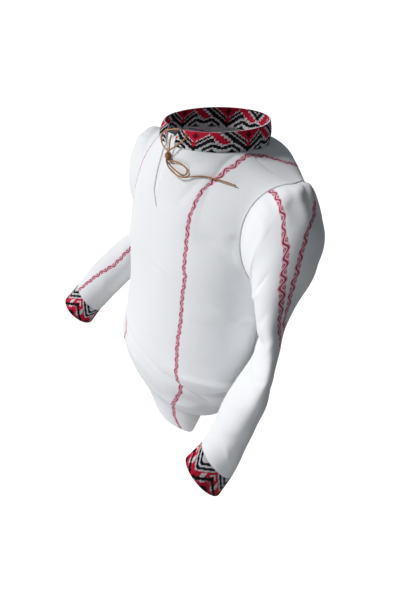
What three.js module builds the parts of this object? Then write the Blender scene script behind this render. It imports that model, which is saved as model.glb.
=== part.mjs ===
// A folk shirt on an unseen wearer, as hollow walls of cloth: front, back, two sleeves, a stand
// collar, two cuffs and a leather tie. Millimetres, +Z up, +X to the wearer's left and -Y forward,
// with the origin inside the collar, on the wearer's middle line.
//
// Every piece is a stretch of one net of shared points, so pieces meet exactly at their seams. The
// net is the outside of the cloth. A wall is made from it by moving the points in along the net's
// normals, and at a seam each piece is drawn back a little, which leaves a gap of about 0.3.

import * as THREE from 'three';

// ---- driving dimensions -------------------------------------------------------------------
const CLOTH = 1.3;               // wall of a single layer
const BAND = 2.2;                // wall of the doubled, stitched bands
const SEAM_DRAW = 0.2;            // how far each piece is drawn back from a seam
const DEGREE = Math.PI / 180;

// Level rings of the body, from the hem up to the underarm. halfWidth runs along X and halfDepth
// along Y, square is the power of the superellipse, and shiftX and shiftY move the ring.
const BODY_RINGS = [
  { z: -640, halfWidth: 84, halfDepth: 54, square: 2.0, shiftX: 16, shiftY: -8 },
  { z: -596, halfWidth: 98, halfDepth: 62, square: 2.0, shiftX: 8, shiftY: -16 },
  { z: -554, halfWidth: 124, halfDepth: 82, square: 2.0, shiftX: 2, shiftY: -18 },
  { z: -512, halfWidth: 160, halfDepth: 110, square: 2.0, shiftX: 0, shiftY: -10 },
  { z: -466, halfWidth: 187, halfDepth: 130, square: 2.05, shiftX: 0, shiftY: -3 },
  { z: -400, halfWidth: 186, halfDepth: 126, square: 2.05, shiftX: 2, shiftY: 0 },
  { z: -320, halfWidth: 184, halfDepth: 122, square: 2.1, shiftX: 3, shiftY: 0 },
  { z: -240, halfWidth: 188, halfDepth: 123, square: 2.3, shiftX: 0, shiftY: 0 },
];
const BODY_SHARE = 0.62;         // share of a panel's height that the rings above take
const NECK = { halfWidth: 93, halfDepth: 99, y: -11, z: -25, slope: 0.095 };
const NECK_SHARE = 0.42;         // share of a panel's half width that ends on the neckline
const SHOULDER = { x: 195, y: 0, z: -51, hollow: 6 };
const ARMHOLE = {
  front: { scoop: 36, rise: 60, round: 2.5, edgeRound: 2.5 },
  back: { scoop: 27, rise: 88, round: 6.5, edgeRound: 7.5 },
};
const SCOOP_POWER = 1.8;          // how far into the panel the columns give way to the armhole
const SLIT = { bottom: 0.77, halfGap: 12, lowX: -18, highX: 4, reach: 0.36 };
const COLLAR = { front: 29, back: 39, taper: 5, spread: 6, spreadOver: 30, bow: 2.5, rows: 3 };

const NECK_COLUMNS = 7;          // columns in half a panel: under the neckline,
const SHOULDER_COLUMNS = 7;      // and under the shoulder
// Rows of the body from the hem, close together at the overhang,
const BODY_ROWS = [0, 0.045, 0.085, 0.12, 0.15, 0.178, 0.2, 0.225, 0.26, 0.31, 0.37, 0.44, 0.53];
const ARMHOLE_ROWS = 11;         // and how many there are from the underarm to the shoulder

// Sections of the sleeves on the wearer's left, below the armhole, down to the cuff seam: the
// middle, the half widths across and along, the turn of the across axis from X to Y, and the tilts
// of the section about Y (lean) and about X (nod), in degrees. On the right, x runs the other way.
const SLEEVE_LEFT = [
  { x: 214, y: -9, z: -152, across: 92, along: 65, turn: 0, lean: 78, nod: 0 },
  { x: 230, y: -12, z: -172, across: 80, along: 62, turn: 4, lean: 66, nod: 0 },
  { x: 239, y: -20, z: -200, across: 58, along: 58, turn: 12, lean: 52, nod: 0 },
  { x: 243, y: -29, z: -234, across: 36, along: 58, turn: 28, lean: 32, nod: 0 },
  { x: 246, y: -37, z: -272, across: 24, along: 60, turn: 44, lean: 12, nod: 0 },
  { x: 251, y: -38, z: -312, across: 18, along: 61, turn: 50, lean: 2, nod: 0 },
  { x: 253, y: -43, z: -356, across: 19, along: 61, turn: 50, lean: 0, nod: 0 },
  { x: 252, y: -56, z: -404, across: 31, along: 55, turn: 50, lean: -6, nod: -6 },
  { x: 249, y: -71, z: -450, across: 35, along: 50, turn: 50, lean: -12, nod: -14 },
  { x: 246, y: -82, z: -501, across: 38, along: 42, turn: 50, lean: -20, nod: -24 },
  { x: 241.5, y: -95, z: -554, across: 48, along: 33, turn: 50, lean: -30, nod: -35 },
];
const CUFF_LEFT = [
  { x: 241.5, y: -95, z: -554, across: 48, along: 33, turn: 50, lean: -30, nod: -35 },
  { x: 239.5, y: -107, z: -572, across: 53, along: 33, turn: 50, lean: -33, nod: -35 },
  { x: 236.5, y: -118, z: -590, across: 57, along: 32, turn: 50, lean: -35, nod: -35 },
];
const SLEEVE_RIGHT = [
  { x: 214, y: 0, z: -152, across: 92, along: 58, turn: 0, lean: 78, nod: 0 },
  { x: 230, y: 14, z: -174, across: 80, along: 52, turn: 0, lean: 64, nod: 0 },
  { x: 238, y: 30, z: -206, across: 60, along: 50, turn: 0, lean: 48, nod: 0 },
  { x: 242, y: 42, z: -246, across: 48, along: 48, turn: 0, lean: 28, nod: 0 },
  { x: 248, y: 44, z: -290, across: 44, along: 46, turn: 0, lean: 10, nod: -12 },
  { x: 257, y: 26, z: -330, across: 44, along: 44, turn: 0, lean: 6, nod: -36 },
  { x: 270, y: -14, z: -371, across: 45, along: 43, turn: 0, lean: 12, nod: -44 },
  { x: 283, y: -55, z: -418, across: 45, along: 42, turn: 0, lean: 22, nod: -42 },
  { x: 298, y: -99.5, z: -479, across: 42, along: 40, turn: 0, lean: 28, nod: -34 },
];
const CUFF_RIGHT = [
  { x: 298, y: -99.5, z: -479, across: 42, along: 40, turn: 0, lean: 28, nod: -34 },
  { x: 304, y: -110.5, z: -499, across: 43, along: 41, turn: 0, lean: 26, nod: -31 },
  { x: 310, y: -121.5, z: -519, across: 43, along: 42, turn: 0, lean: 24, nod: -28 },
];
const HEAD = 0.16;               // share of a sleeve's length in which the armhole rounds into it
const HEAD_BULGE = 60;
const HEAD_RINGS = [0.035, 0.075, 0.125, 0.18, 0.24];
const ARM_RINGS = 11;            // rings below those, down to the cuff seam
const ARM_COLUMNS = 24;
const GATHERS = { count: 9, perWave: 3, height: 3, spread: 70, start: 0.035, end: 0.24 };
const UNDERARM_COLUMNS = 10;

// The largest folds: a soft ridge, or a trough where the height is negative, from one place to
// another. On the body a place is (c, v), and on a sleeve it is (phi, t).
const FRONT_FOLDS = [
  { fromA: -0.11, fromB: 0.42, toA: 0.71, toB: 0.28, width: 30, height: -8 },
  { fromA: -0.11, fromB: 0.36, toA: 0.6, toB: 0.235, width: 26, height: 5 },
  { fromA: 0.31, fromB: 0.705, toA: 0.92, toB: 0.725, width: 16, height: -5 },
  { fromA: 0.41, fromB: 0.545, toA: 0.76, toB: 0.53, width: 12, height: 3 },
  { fromA: -0.64, fromB: 0.46, toA: -0.28, toB: 0.35, width: 18, height: -4 },
];
const BACK_FOLDS = [
  { fromA: -0.7, fromB: 0.7, toA: -0.11, toB: 0.56, width: 24, height: -5 },
  { fromA: 0.7, fromB: 0.72, toA: 0.17, toB: 0.5, width: 24, height: -5 },
  { fromA: -0.41, fromB: 0.42, toA: 0.3, toB: 0.3, width: 22, height: -6 },
  { fromA: -0.11, fromB: 0.36, toA: 0.64, toB: 0.26, width: 18, height: 5 },
];
const SLEEVE_FOLDS = [
  { fromA: 110, fromB: 0.36, toA: 190, toB: 0.46, width: 13, height: -4 },
  { fromA: 70, fromB: 0.52, toA: 170, toB: 0.58, width: 13, height: -4 },
  { fromA: 60, fromB: 0.68, toA: 150, toB: 0.62, width: 12, height: 3 },
  { fromA: 250, fromB: 0.5, toA: 330, toB: 0.62, width: 14, height: -3 },
];
const BODY_SPAN = { a: 245, b: 760 };    // what one unit of c and of v measures along the cloth
const SLEEVE_SPAN = { a: 0.85, b: 620 }; // what a degree of phi and a unit of t measure
// The body hangs over where it was drawn in: a lip, and the tuck under it, strongest round the
// wearer's left front. The angle is 0 in front, 90 at the left side seam and 180 behind.
const OVERHANG = [
  { v: 0.212, width: 0.034, drop: 11, out: 10 },
  { v: 0.145, width: 0.04, drop: -4, out: -12 },
];
const OVERHANG_MIDDLE = 75;
const OVERHANG_SPREAD = 48;
const OVERHANG_LEAST = 0.05;
// The hem is level but for a rounded tail in front and a shallow one behind, between these angles
// from each tail's middle. Up to the share `free`, the rows of the body follow it.
const HEM = {
  level: 0.17, free: 0.26, tailMiddle: 22, tailInner: 34, tailOuter: 74, backDrop: 0.35, backSpread: 55,
};

// The tie: two leather thongs from the collar's left end, by the points that they follow, and the
// wrapped knot that holds them together.
const THONG = 2.4;
const TIE_LOOP = [
  [26, -109, -5], [17, -112.5, -7], [6, -115.5, -10], [-4, -117.5, -14], [-10, -118.5, -20],
  [-11.5, -118.5, -28], [-7, -118.5, -35.5], [1, -118.2, -40], [8.2, -117.9, -42.5],
  [11.4, -117.7, -46], [11.6, -117.7, -51], [11.6, -117.7, -56], [12.6, -117.9, -60],
  [17, -118, -62.5], [24, -117.7, -65], [35, -116, -68.8], [46.5, -113.2, -72.2],
  [54, -109.8, -72.5], [57.5, -107.4, -68], [55, -107.4, -62], [47.5, -109.4, -58],
  [37, -112.6, -55.5], [27, -115.8, -56.2], [20, -117.4, -57.8], [15.6, -117.8, -57],
  [14.4, -117.7, -54.4], [14.4, -117.7, -47.5], [14.6, -118, -40.5], [14.8, -118.5, -33],
  [15, -118, -24], [15, -116.8, -16],
];
const TIE_TAIL = [
  [38, -106, -8], [40.5, -105.6, -13], [38.5, -107.6, -19], [33, -111.4, -26], [27, -115, -32.5],
  [20.5, -119, -38.5], [15, -121.1, -43], [13, -120.5, -48], [13, -120.5, -54],
  [14, -121, -58.5], [18.5, -121.4, -63.5], [26, -121, -68.5], [36, -119.6, -72.6],
  [46, -117, -75.4], [56, -112.4, -75.5], [65.3, -106.2, -72.4], [75, -99.2, -69],
  [85.2, -92.2, -67], [97, -84.6, -66.2], [112.6, -77.2, -66.5], [124, -71, -67.4],
  [135.2, -65.2, -68.8],
];
const KNOT = { x: 13, y: -118.7, z: -50.8, inner: 3.4, outer: 5.1, height: 7 };
const THONG_SIDES = 8;
const THONG_STEP = 6;

// ---- small tools --------------------------------------------------------------------------
const { clamp, lerp, smoothstep } = THREE.MathUtils;
const STEP = 0.004;              // how far to look for the slope of a surface, in c, v and t

function spline(table, t) {      // a smooth row of a table, t from 0 to 1
  const last = table.length - 1;
  const at = clamp(t, 0, 1) * last;
  const i = Math.min(Math.floor(at), last - 1);
  const f = at - i;
  const rows = [table[Math.max(i - 1, 0)], table[i], table[i + 1], table[Math.min(i + 2, last)]];
  const row = {};
  for (const key of Object.keys(table[0])) {
    const [a, b, c, d] = rows.map((r) => r[key]);
    row[key] = 0.5 * (2 * b + (c - a) * f + (2 * a - 5 * b + 4 * c - d) * f * f
      + (3 * b - a - 3 * c + d) * f * f * f);
  }
  return row;
}

function reach(angle, power) {   // radius of a unit superellipse
  return (Math.abs(Math.sin(angle)) ** power + Math.abs(Math.cos(angle)) ** power) ** (-1 / power);
}

// ---- the body -----------------------------------------------------------------------------
// c runs across a panel from -1 at the wearer's right side seam to 1 at the left, v from the hem
// to the top, and facing is 1 on the front and -1 on the back.
function ringPoint(row, angle, facing) {
  const r = reach(angle, row.square);
  return new THREE.Vector3(
    row.shiftX + row.halfWidth * r * Math.sin(angle),
    row.shiftY - facing * row.halfDepth * r * Math.cos(angle),
    row.z,
  );
}

function topPoint(c, facing) {   // the neckline, and the shoulder seam beside it
  const size = Math.abs(c);
  const side = c < 0 ? -1 : 1;
  const turn = Math.min(1, size / NECK_SHARE) * Math.PI / 2;
  const y = NECK.y - facing * NECK.halfDepth * Math.cos(turn);
  const neck = new THREE.Vector3(NECK.halfWidth * Math.sin(turn), y, NECK.z + NECK.slope * (y - NECK.y));
  const along = Math.max(0, size - NECK_SHARE) / (1 - NECK_SHARE);
  neck.lerp(new THREE.Vector3(SHOULDER.x, SHOULDER.y, SHOULDER.z), along);
  neck.z -= SHOULDER.hollow * Math.sin(Math.PI * along);
  return new THREE.Vector3(side * neck.x, neck.y, neck.z);
}

function bodyPoint(c, v, facing) {
  const row = spline(BODY_RINGS, v / BODY_SHARE);
  let angle = c * Math.PI / 2;
  if (v <= BODY_SHARE) return ringPoint(row, angle, facing);
  const arm = facing > 0 ? ARMHOLE.front : ARMHOLE.back;
  const t = (v - BODY_SHARE) / (1 - BODY_SHARE);
  angle -= Math.sign(c) * arm.scoop * DEGREE * 2 * Math.sqrt(t * (1 - t)) * Math.abs(c) ** SCOOP_POWER;
  const below = ringPoint(row, angle, facing);
  const above = topPoint(c, facing);
  const edge = smoothstep(Math.abs(c), 0, NECK_SHARE);
  const end = lerp(arm.rise, 90, edge) * DEGREE;
  const beside = Math.max(0, Math.abs(c) - NECK_SHARE) / (1 - NECK_SHARE);
  const round = lerp(arm.round, arm.edgeRound, beside);
  const inward = (b) => 1 - reach(b, round) * Math.cos(b);
  const upward = (b) => reach(b, round) * Math.sin(b);
  const h = inward(t * end) / inward(end);
  const u = upward(t * end) / upward(end);
  return new THREE.Vector3(lerp(below.x, above.x, h), lerp(below.y, above.y, h), lerp(below.z, above.z, u));
}

function hemStart(angle) {       // where the hem lies, as a share of the body's height
  const front = smoothstep(Math.abs(angle - HEM.tailMiddle), HEM.tailInner, HEM.tailOuter);
  const behind = Math.exp(-(((180 - Math.abs(angle)) / HEM.backSpread) ** 2));
  return HEM.level * front * (1 - HEM.backDrop * behind);
}

// ---- folds --------------------------------------------------------------------------------
function foldHeight(folds, span, a, b) {
  let sum = 0;
  for (const fold of folds) {
    const ax = (fold.toA - fold.fromA) * span.a;
    const bx = (fold.toB - fold.fromB) * span.b;
    const px = (a - fold.fromA) * span.a;
    const py = (b - fold.fromB) * span.b;
    const along = clamp((px * ax + py * bx) / (ax * ax + bx * bx), 0, 1);
    const away = Math.hypot(px - along * ax, py - along * bx) / fold.width;
    const strength = 0.35 + 0.65 * Math.sin(Math.PI * along);
    sum += fold.height * strength * Math.exp(-away * away);
  }
  return sum;
}

// The cloth of the body: the smooth form with its folds, its overhang, and the slit's two edges,
// which the sign of `edge` tells apart. `height` is v but for the rows that follow the hem.
function bodyCloth(c, height, facing, edge = Math.sign(c)) {
  const angle = facing > 0 ? 90 * c : 180 * (c < 0 ? -1 : 1) - 90 * c;
  const v = height < HEM.free ? lerp(hemStart(angle), HEM.free, height / HEM.free) : height;
  const point = bodyPoint(c, v, facing);
  const at = (dc, dv) => bodyPoint(clamp(c + dc, -1, 1), clamp(v + dv, 0, 1), facing);
  const across = at(STEP, 0).sub(at(-STEP, 0));
  const upward = at(0, STEP).sub(at(0, -STEP));
  const normal = across.cross(upward).normalize().multiplyScalar(facing);
  const calm = smoothstep(1 - Math.abs(c), 0, 0.16) * smoothstep(1 - v, 0.02, 0.1);
  const folds = facing > 0 ? FRONT_FOLDS : BACK_FOLDS;
  point.addScaledVector(normal, calm * foldHeight(folds, BODY_SPAN, c, v));

  const turned = ((angle - OVERHANG_MIDDLE + 540) % 360) - 180;
  const round = lerp(OVERHANG_LEAST, 1, Math.exp(-((turned / OVERHANG_SPREAD) ** 2)));
  for (const wave of OVERHANG) {
    const amount = round * Math.exp(-(((v - wave.v) / wave.width) ** 2));
    point.z -= wave.drop * amount;
    point.addScaledVector(new THREE.Vector3(normal.x, normal.y, 0), wave.out * amount);
  }

  if (facing > 0 && v > SLIT.bottom) {
    const s = (v - SLIT.bottom) / (1 - SLIT.bottom);
    const close = Math.max(0, 1 - Math.abs(c) / SLIT.reach) ** 1.5;
    const opening = edge * SLIT.halfGap * s ** 0.8 + lerp(SLIT.lowX, SLIT.highX, s) * Math.min(1, 5 * s);
    point.x += close * opening;
  }
  return point;
}

// ---- the sleeves --------------------------------------------------------------------------
// phi runs round a sleeve in degrees, from the shoulder over the front to the underarm and up the
// back, and t from the armhole to the cuff seam.
function sectionPoint(row, side, phi) {
  const turn = row.turn * DEGREE;
  const p = row.across * Math.cos(phi * DEGREE + turn);
  const q = row.along * Math.sin(phi * DEGREE + turn);
  const x = p * Math.cos(turn) + q * Math.sin(turn);
  const y = p * Math.sin(turn) - q * Math.cos(turn);
  const point = new THREE.Vector3(x, y, 0);
  point.applyEuler(new THREE.Euler(row.nod * DEGREE, -row.lean * DEGREE, 0, 'YXZ'));
  return new THREE.Vector3(side * (row.x + point.x), row.y + point.y, row.z + point.z);
}

function loopPoint(loop, phi) {  // a point on the armhole's edge, by its angle
  const at = ((phi % 360) + 360) % 360;
  const next = loop.findIndex((corner) => corner.phi > at);
  const after = next < 0 ? { point: loop[0].point, phi: 360 } : loop[next];
  const before = loop[(next < 0 ? loop.length : next) - 1];
  return before.point.clone().lerp(after.point, (at - before.phi) / (after.phi - before.phi));
}

function sleeveForm(sections, side, loop, phi, t) {
  const point = sectionPoint(spline(sections, (t - HEAD) / (1 - HEAD)), side, phi);
  if (t >= HEAD) return point;
  const ahead = 0.02;
  const onward = sectionPoint(spline(sections, ahead), side, phi).sub(point);
  const s = t / HEAD;
  return point.multiplyScalar(s * s * (3 - 2 * s))
    .addScaledVector(onward, s * s * (s - 1) * HEAD / (ahead * (1 - HEAD)))
    .addScaledVector(loopPoint(loop, phi), 1 - s * s * (3 - 2 * s))
    .addScaledVector(new THREE.Vector3(side * HEAD_BULGE, 0, 0), s * (s - 1) * (s - 1));
}

function sleeveCloth(sections, side, loop, phi, t) {
  const point = sleeveForm(sections, side, loop, phi, t);
  const at = (dPhi, dt) => sleeveForm(sections, side, loop, phi + dPhi, t + dt);
  const around = at(STEP * 360, 0).sub(at(-STEP * 360, 0));
  const down = at(0, STEP).sub(at(0, -STEP));
  const normal = around.cross(down).normalize().multiplyScalar(side);
  const fromTop = ((phi + 180) % 360) - 180;
  let height = foldHeight(SLEEVE_FOLDS, SLEEVE_SPAN, phi, t);
  if (Math.abs(fromTop) < GATHERS.spread && t < GATHERS.end) {
    const wave = Math.cos(Math.PI * GATHERS.count * (fromTop / GATHERS.spread + 1));
    height += GATHERS.height * wave * (1 - smoothstep(t, GATHERS.start, GATHERS.end));
  }
  return point.addScaledVector(normal, height);
}

// ---- the net ------------------------------------------------------------------------------
const net = [];                  // every point of the cloth, once
const pieces = {};               // name: { wall, triangles }

function add(point) {
  net.push(point);
  return net.length - 1;
}

function piece(name, wall) {
  pieces[name] = { wall, triangles: [] };
  return pieces[name];
}

// A strip between two rows of points, each with its place along the row. It steps along whichever
// row is behind, so the rows may have different counts.
function strip(target, lower, upper, turnOver) {
  let i = 0;
  let j = 0;
  while (i < lower.length - 1 || j < upper.length - 1) {
    const canLower = i < lower.length - 1;
    const canUpper = j < upper.length - 1;
    const stepLower = canLower && (!canUpper || lower[i + 1].at <= upper[j + 1].at);
    const third = stepLower ? lower[i + 1].index : upper[j + 1].index;
    const corners = [lower[i].index, third, upper[j].index];
    if (new Set(corners).size === 3) target.triangles.push(turnOver ? corners.reverse() : corners);
    if (stepLower) i += 1;
    else j += 1;
  }
}

function quads(target, rows, turnOver) { // rows of indices with the same count
  for (let r = 0; r < rows.length - 1; r += 1) {
    for (let k = 0; k < rows[r].length - 1; k += 1) {
      const [a, b] = [rows[r][k], rows[r][k + 1]];
      const [d, e] = [rows[r + 1][k + 1], rows[r + 1][k]];
      const split = (r + k) % 2 ? [[a, b, d], [a, d, e]] : [[a, b, e], [b, d, e]];
      for (const corners of split) {
        if (new Set(corners).size === 3) target.triangles.push(turnOver ? corners.reverse() : corners);
      }
    }
  }
}

// The outer points of a piece are drawn back from its seams, the inner ones follow at the wall's
// thickness, and the free edges are closed between the two.
function wallGeometry(target, normals, owners) {
  const used = [...new Set(target.triangles.flat())];
  const place = new Map(used.map((index, i) => [index, i]));
  const drawn = new Map(used.map((index) => [index, new THREE.Vector3()]));
  for (const corners of target.triangles) {
    const middle = new THREE.Vector3();
    corners.forEach((index) => middle.addScaledVector(net[index], 1 / 3));
    corners.forEach((index) => drawn.get(index).add(middle.clone().sub(net[index]).normalize()));
  }
  const position = [];
  const inside = [];
  for (const index of used) {
    const { direction, stretch } = normals[index];
    const point = net[index].clone();
    const onSeam = owners[index].size > 1;
    if (onSeam) {
      const back = drawn.get(index);
      back.addScaledVector(direction, -back.dot(direction)).normalize();
      point.addScaledVector(back, SEAM_DRAW);
    }
    position.push(point.x, point.y, point.z);
    point.addScaledVector(direction, -(onSeam ? CLOTH : target.wall) * stretch);
    inside.push(point.x, point.y, point.z);
  }
  const edges = new Set(target.triangles.flatMap(([a, b, c]) => [`${a},${b}`, `${b},${c}`, `${c},${a}`]));
  const index = [];
  for (const [a, b, c] of target.triangles) {
    index.push(place.get(a), place.get(b), place.get(c));
    index.push(used.length + place.get(c), used.length + place.get(b), used.length + place.get(a));
    for (const [p, q] of [[a, b], [b, c], [c, a]]) {
      if (edges.has(`${q},${p}`)) continue;
      const [i, j] = [place.get(p), place.get(q)];
      const [under, over] = [used.length + i, used.length + j];
      if (p < q) index.push(j, i, over, i, under, over); // both sides of a seam split alike
      else index.push(j, i, under, j, under, over);
    }
  }
  const geometry = new THREE.BufferGeometry();
  geometry.setAttribute('position', new THREE.Float32BufferAttribute([...position, ...inside], 3));
  geometry.setIndex(index);
  geometry.computeVertexNormals();
  return geometry;
}

// ---- front and back -----------------------------------------------------------------------
const columns = [];
for (let k = 0; k <= NECK_COLUMNS; k += 1) columns.push(NECK_SHARE * k / NECK_COLUMNS);
for (let k = 1; k <= SHOULDER_COLUMNS; k += 1) {
  columns.push(NECK_SHARE + (1 - NECK_SHARE) * k / SHOULDER_COLUMNS);
}
const acrossAll = [...columns.map((c) => -c).reverse(), ...columns]; // the middle one is there twice
const heights = [...BODY_ROWS];
for (let r = 0; r <= ARMHOLE_ROWS; r += 1) heights.push(lerp(BODY_SHARE, 1, r / ARMHOLE_ROWS));

const frontRows = heights.map((v) => {
  const row = acrossAll.map((c, k) => (
    k === columns.length && v <= SLIT.bottom ? -1 : add(bodyCloth(c, v, 1, k < columns.length ? -1 : 1))
  ));
  if (row[columns.length] < 0) row[columns.length] = row[columns.length - 1];
  return row;
});
const backRows = heights.map((v, r) => acrossAll.map((c, k) => {
  const sideSeam = Math.abs(c) === 1 && v <= BODY_SHARE;
  const shoulderSeam = r === heights.length - 1 && Math.abs(c) >= NECK_SHARE;
  if (sideSeam || shoulderSeam) return frontRows[r][k];
  return k === columns.length ? -1 : add(bodyCloth(c, v, -1));
}));
backRows.forEach((row) => row.splice(columns.length, 1));
const front = piece('front', CLOTH);
quads(front, frontRows, false);
const back = piece('back', CLOTH);
quads(back, backRows, true);

// ---- sleeves and cuffs --------------------------------------------------------------------
const armRings = Array.from({ length: ARM_RINGS }, (_, k) => (
  lerp(HEAD_RINGS.at(-1), 1, (k + 1) / ARM_RINGS)
));
const headPhis = [];
for (let k = 0; k < GATHERS.count * GATHERS.perWave; k += 1) {
  headPhis.push(-GATHERS.spread + 2 * GATHERS.spread * k / (GATHERS.count * GATHERS.perWave));
}
for (let k = 0; k < UNDERARM_COLUMNS; k += 1) {
  headPhis.push(GATHERS.spread + (360 - 2 * GATHERS.spread) * k / UNDERARM_COLUMNS);
}
const armPhis = Array.from({ length: ARM_COLUMNS }, (_, k) => -GATHERS.spread + 360 * k / ARM_COLUMNS);

function closedRing(phis, pointAt) {
  const ring = phis.map((phi) => ({ at: phi, index: add(pointAt(phi)) }));
  return [...ring, { at: ring[0].at + 360, index: ring[0].index }];
}

function armholeLoop(column) {   // top of the shoulder, down the front edge, up the back edge
  const top = heights.length - 1;
  const indices = [];
  for (let r = top; r >= BODY_ROWS.length; r -= 1) indices.push(frontRows[r].at(column));
  const underarm = indices.length - 1;
  for (let r = BODY_ROWS.length + 1; r < top; r += 1) indices.push(backRows[r].at(column));
  const lengths = [0];
  for (let k = 1; k <= indices.length; k += 1) {
    lengths.push(lengths[k - 1] + net[indices[k % indices.length]].distanceTo(net[indices[k - 1]]));
  }
  const half = lengths[underarm];
  return indices.map((index, k) => ({
    index,
    point: net[index],
    phi: k <= underarm ? 180 * lengths[k] / half : 180 + 180 * (lengths[k] - half) / (lengths.at(-1) - half),
  }));
}

function seamRing(loop) {        // the armhole's points, in order from the first head column
  const ring = loop.map((corner) => ({
    index: corner.index,
    at: corner.phi >= 360 - GATHERS.spread ? corner.phi - 360 : corner.phi,
  })).sort((a, b) => a.at - b.at);
  return [...ring, { at: ring[0].at + 360, index: ring[0].index }];
}

function makeArm(name, side, sections, cuffSections) {
  const sleeve = piece(`sleeve_${name}`, CLOTH);
  const loop = armholeLoop(side > 0 ? -1 : 0);
  const ringAt = (phis, t) => closedRing(phis, (phi) => sleeveCloth(sections, side, loop, phi, t));
  const rings = [
    seamRing(loop),
    ...HEAD_RINGS.map((t) => ringAt(headPhis, t)),
    ...armRings.map((t) => ringAt(armPhis, t)),
  ];
  rings.slice(1).forEach((ring, k) => strip(sleeve, rings[k], ring, side < 0));

  const cuff = piece(`cuff_${name}`, BAND);
  const cuffRings = cuffSections.slice(1).map((row) => (
    closedRing(armPhis, (phi) => sectionPoint(row, side, phi))
  ));
  [rings.at(-1), ...cuffRings].forEach((ring, k, all) => {
    if (k > 0) strip(cuff, all[k - 1], ring, side < 0);
  });
}
makeArm('left', 1, SLEEVE_LEFT, CUFF_LEFT);
makeArm('right', -1, SLEEVE_RIGHT, CUFF_RIGHT);

// ---- collar -------------------------------------------------------------------------------
const topFront = frontRows.at(-1);
const topBack = backRows.at(-1);
const middle = columns.length - 1;
const neckLine = [
  ...topFront.slice(middle + 1, middle + 1 + NECK_COLUMNS),
  ...topBack.slice(middle - NECK_COLUMNS, middle + NECK_COLUMNS + 1).reverse(),
  ...topFront.slice(middle - NECK_COLUMNS + 1, middle + 1),
];
const collar = piece('collar', BAND);
const collarRows = [neckLine];
for (let r = 1; r <= COLLAR.rows; r += 1) {
  const rise = r / COLLAR.rows;
  collarRows.push(neckLine.map((index) => {
    const base = net[index];
    const forward = clamp((NECK.y + NECK.halfDepth - base.y) / (2 * NECK.halfDepth), 0, 1);
    const out = new THREE.Vector3(base.x, base.y - NECK.y, 0).normalize();
    const nearSlit = Math.exp(-((base.x / COLLAR.spreadOver) ** 2)) * (base.y < NECK.y ? 1 : 0);
    const outward = COLLAR.bow * Math.sin(Math.PI * rise) - COLLAR.taper * rise;
    const point = base.clone().addScaledVector(out, outward);
    point.x += Math.sign(base.x) * COLLAR.spread * rise * nearSlit;
    point.z += lerp(COLLAR.back, COLLAR.front, forward) * rise;
    return add(point);
  }));
}
quads(collar, collarRows, false);

// ---- the cloth walls ----------------------------------------------------------------------
const owners = net.map(() => new Set());
const faces = net.map(() => []);
for (const [name, { triangles }] of Object.entries(pieces)) {
  for (const corners of triangles) {
    const [a, b, c] = corners.map((index) => net[index]);
    const area = b.clone().sub(a).cross(c.clone().sub(a));
    for (const index of corners) {
      owners[index].add(name);
      faces[index].push(area);
    }
  }
}
const normals = faces.map((list) => {
  const direction = new THREE.Vector3();
  list.forEach((area) => direction.addScaledVector(area, 1 / Math.sqrt(area.length() + 1e-9)));
  direction.normalize();
  const facing = list.reduce((sum, area) => sum + area.clone().normalize().dot(direction), 0);
  return { direction, stretch: 1 / Math.max(0.62, facing / Math.max(1, list.length)) };
});

const cotton = new THREE.MeshStandardMaterial({ color: '#eef0f3', roughness: 0.92, metalness: 0 });
const crossStitch = new THREE.MeshStandardMaterial({ color: '#8c1026', roughness: 0.85, metalness: 0 });
const leather = new THREE.MeshStandardMaterial({ color: '#a0713f', roughness: 0.6, metalness: 0 });

const shirt = new THREE.Group();
for (const [name, target] of Object.entries(pieces)) {
  const material = target.wall === BAND ? crossStitch : cotton;
  const mesh = new THREE.Mesh(wallGeometry(target, normals, owners), material);
  mesh.name = name;
  shirt.add(mesh);
}

// ---- the tie ------------------------------------------------------------------------------
function thong(name, route) {
  const path = new THREE.CatmullRomCurve3(route.map((p) => new THREE.Vector3(...p)));
  const section = new THREE.Shape();
  for (let k = 0; k < THONG_SIDES; k += 1) {
    const angle = 2 * Math.PI * k / THONG_SIDES;
    const corner = [0.5 * THONG * Math.cos(angle), 0.5 * THONG * Math.sin(angle)];
    if (k === 0) section.moveTo(...corner);
    else section.lineTo(...corner);
  }
  section.closePath();
  const steps = Math.round(path.getLength() / THONG_STEP);
  const geometry = new THREE.ExtrudeGeometry(section, { steps, extrudePath: path, bevelEnabled: false });
  const mesh = new THREE.Mesh(geometry, leather);
  mesh.name = name;
  shirt.add(mesh);
}
thong('tie_loop', TIE_LOOP);
thong('tie_tail', TIE_TAIL);

const corner = 1;
const half = KNOT.height / 2;
const wrap = new THREE.Mesh(new THREE.LatheGeometry([
  [KNOT.inner, -half], [KNOT.outer - corner, -half], [KNOT.outer, corner - half],
  [KNOT.outer, half - corner], [KNOT.outer - corner, half], [KNOT.inner, half], [KNOT.inner, -half],
].map(([r, z]) => new THREE.Vector2(r, z)), 20), leather);
wrap.name = 'tie_knot';
wrap.rotation.x = Math.PI / 2;
wrap.position.set(KNOT.x, KNOT.y, KNOT.z);
shirt.add(wrap);

export default shirt;
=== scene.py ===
# %% [markdown]
# # A folk shirt, filled out as if somebody wore it
# The shirt is white cotton with narrow rose stripes, a stand collar and cuffs in cross-stitch, and a
# leather tie at the neck slit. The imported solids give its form. Here each of them is replaced by thin
# cloth or thong of the same form, with the creases, seams and threads that a solid leaves out.

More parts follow.
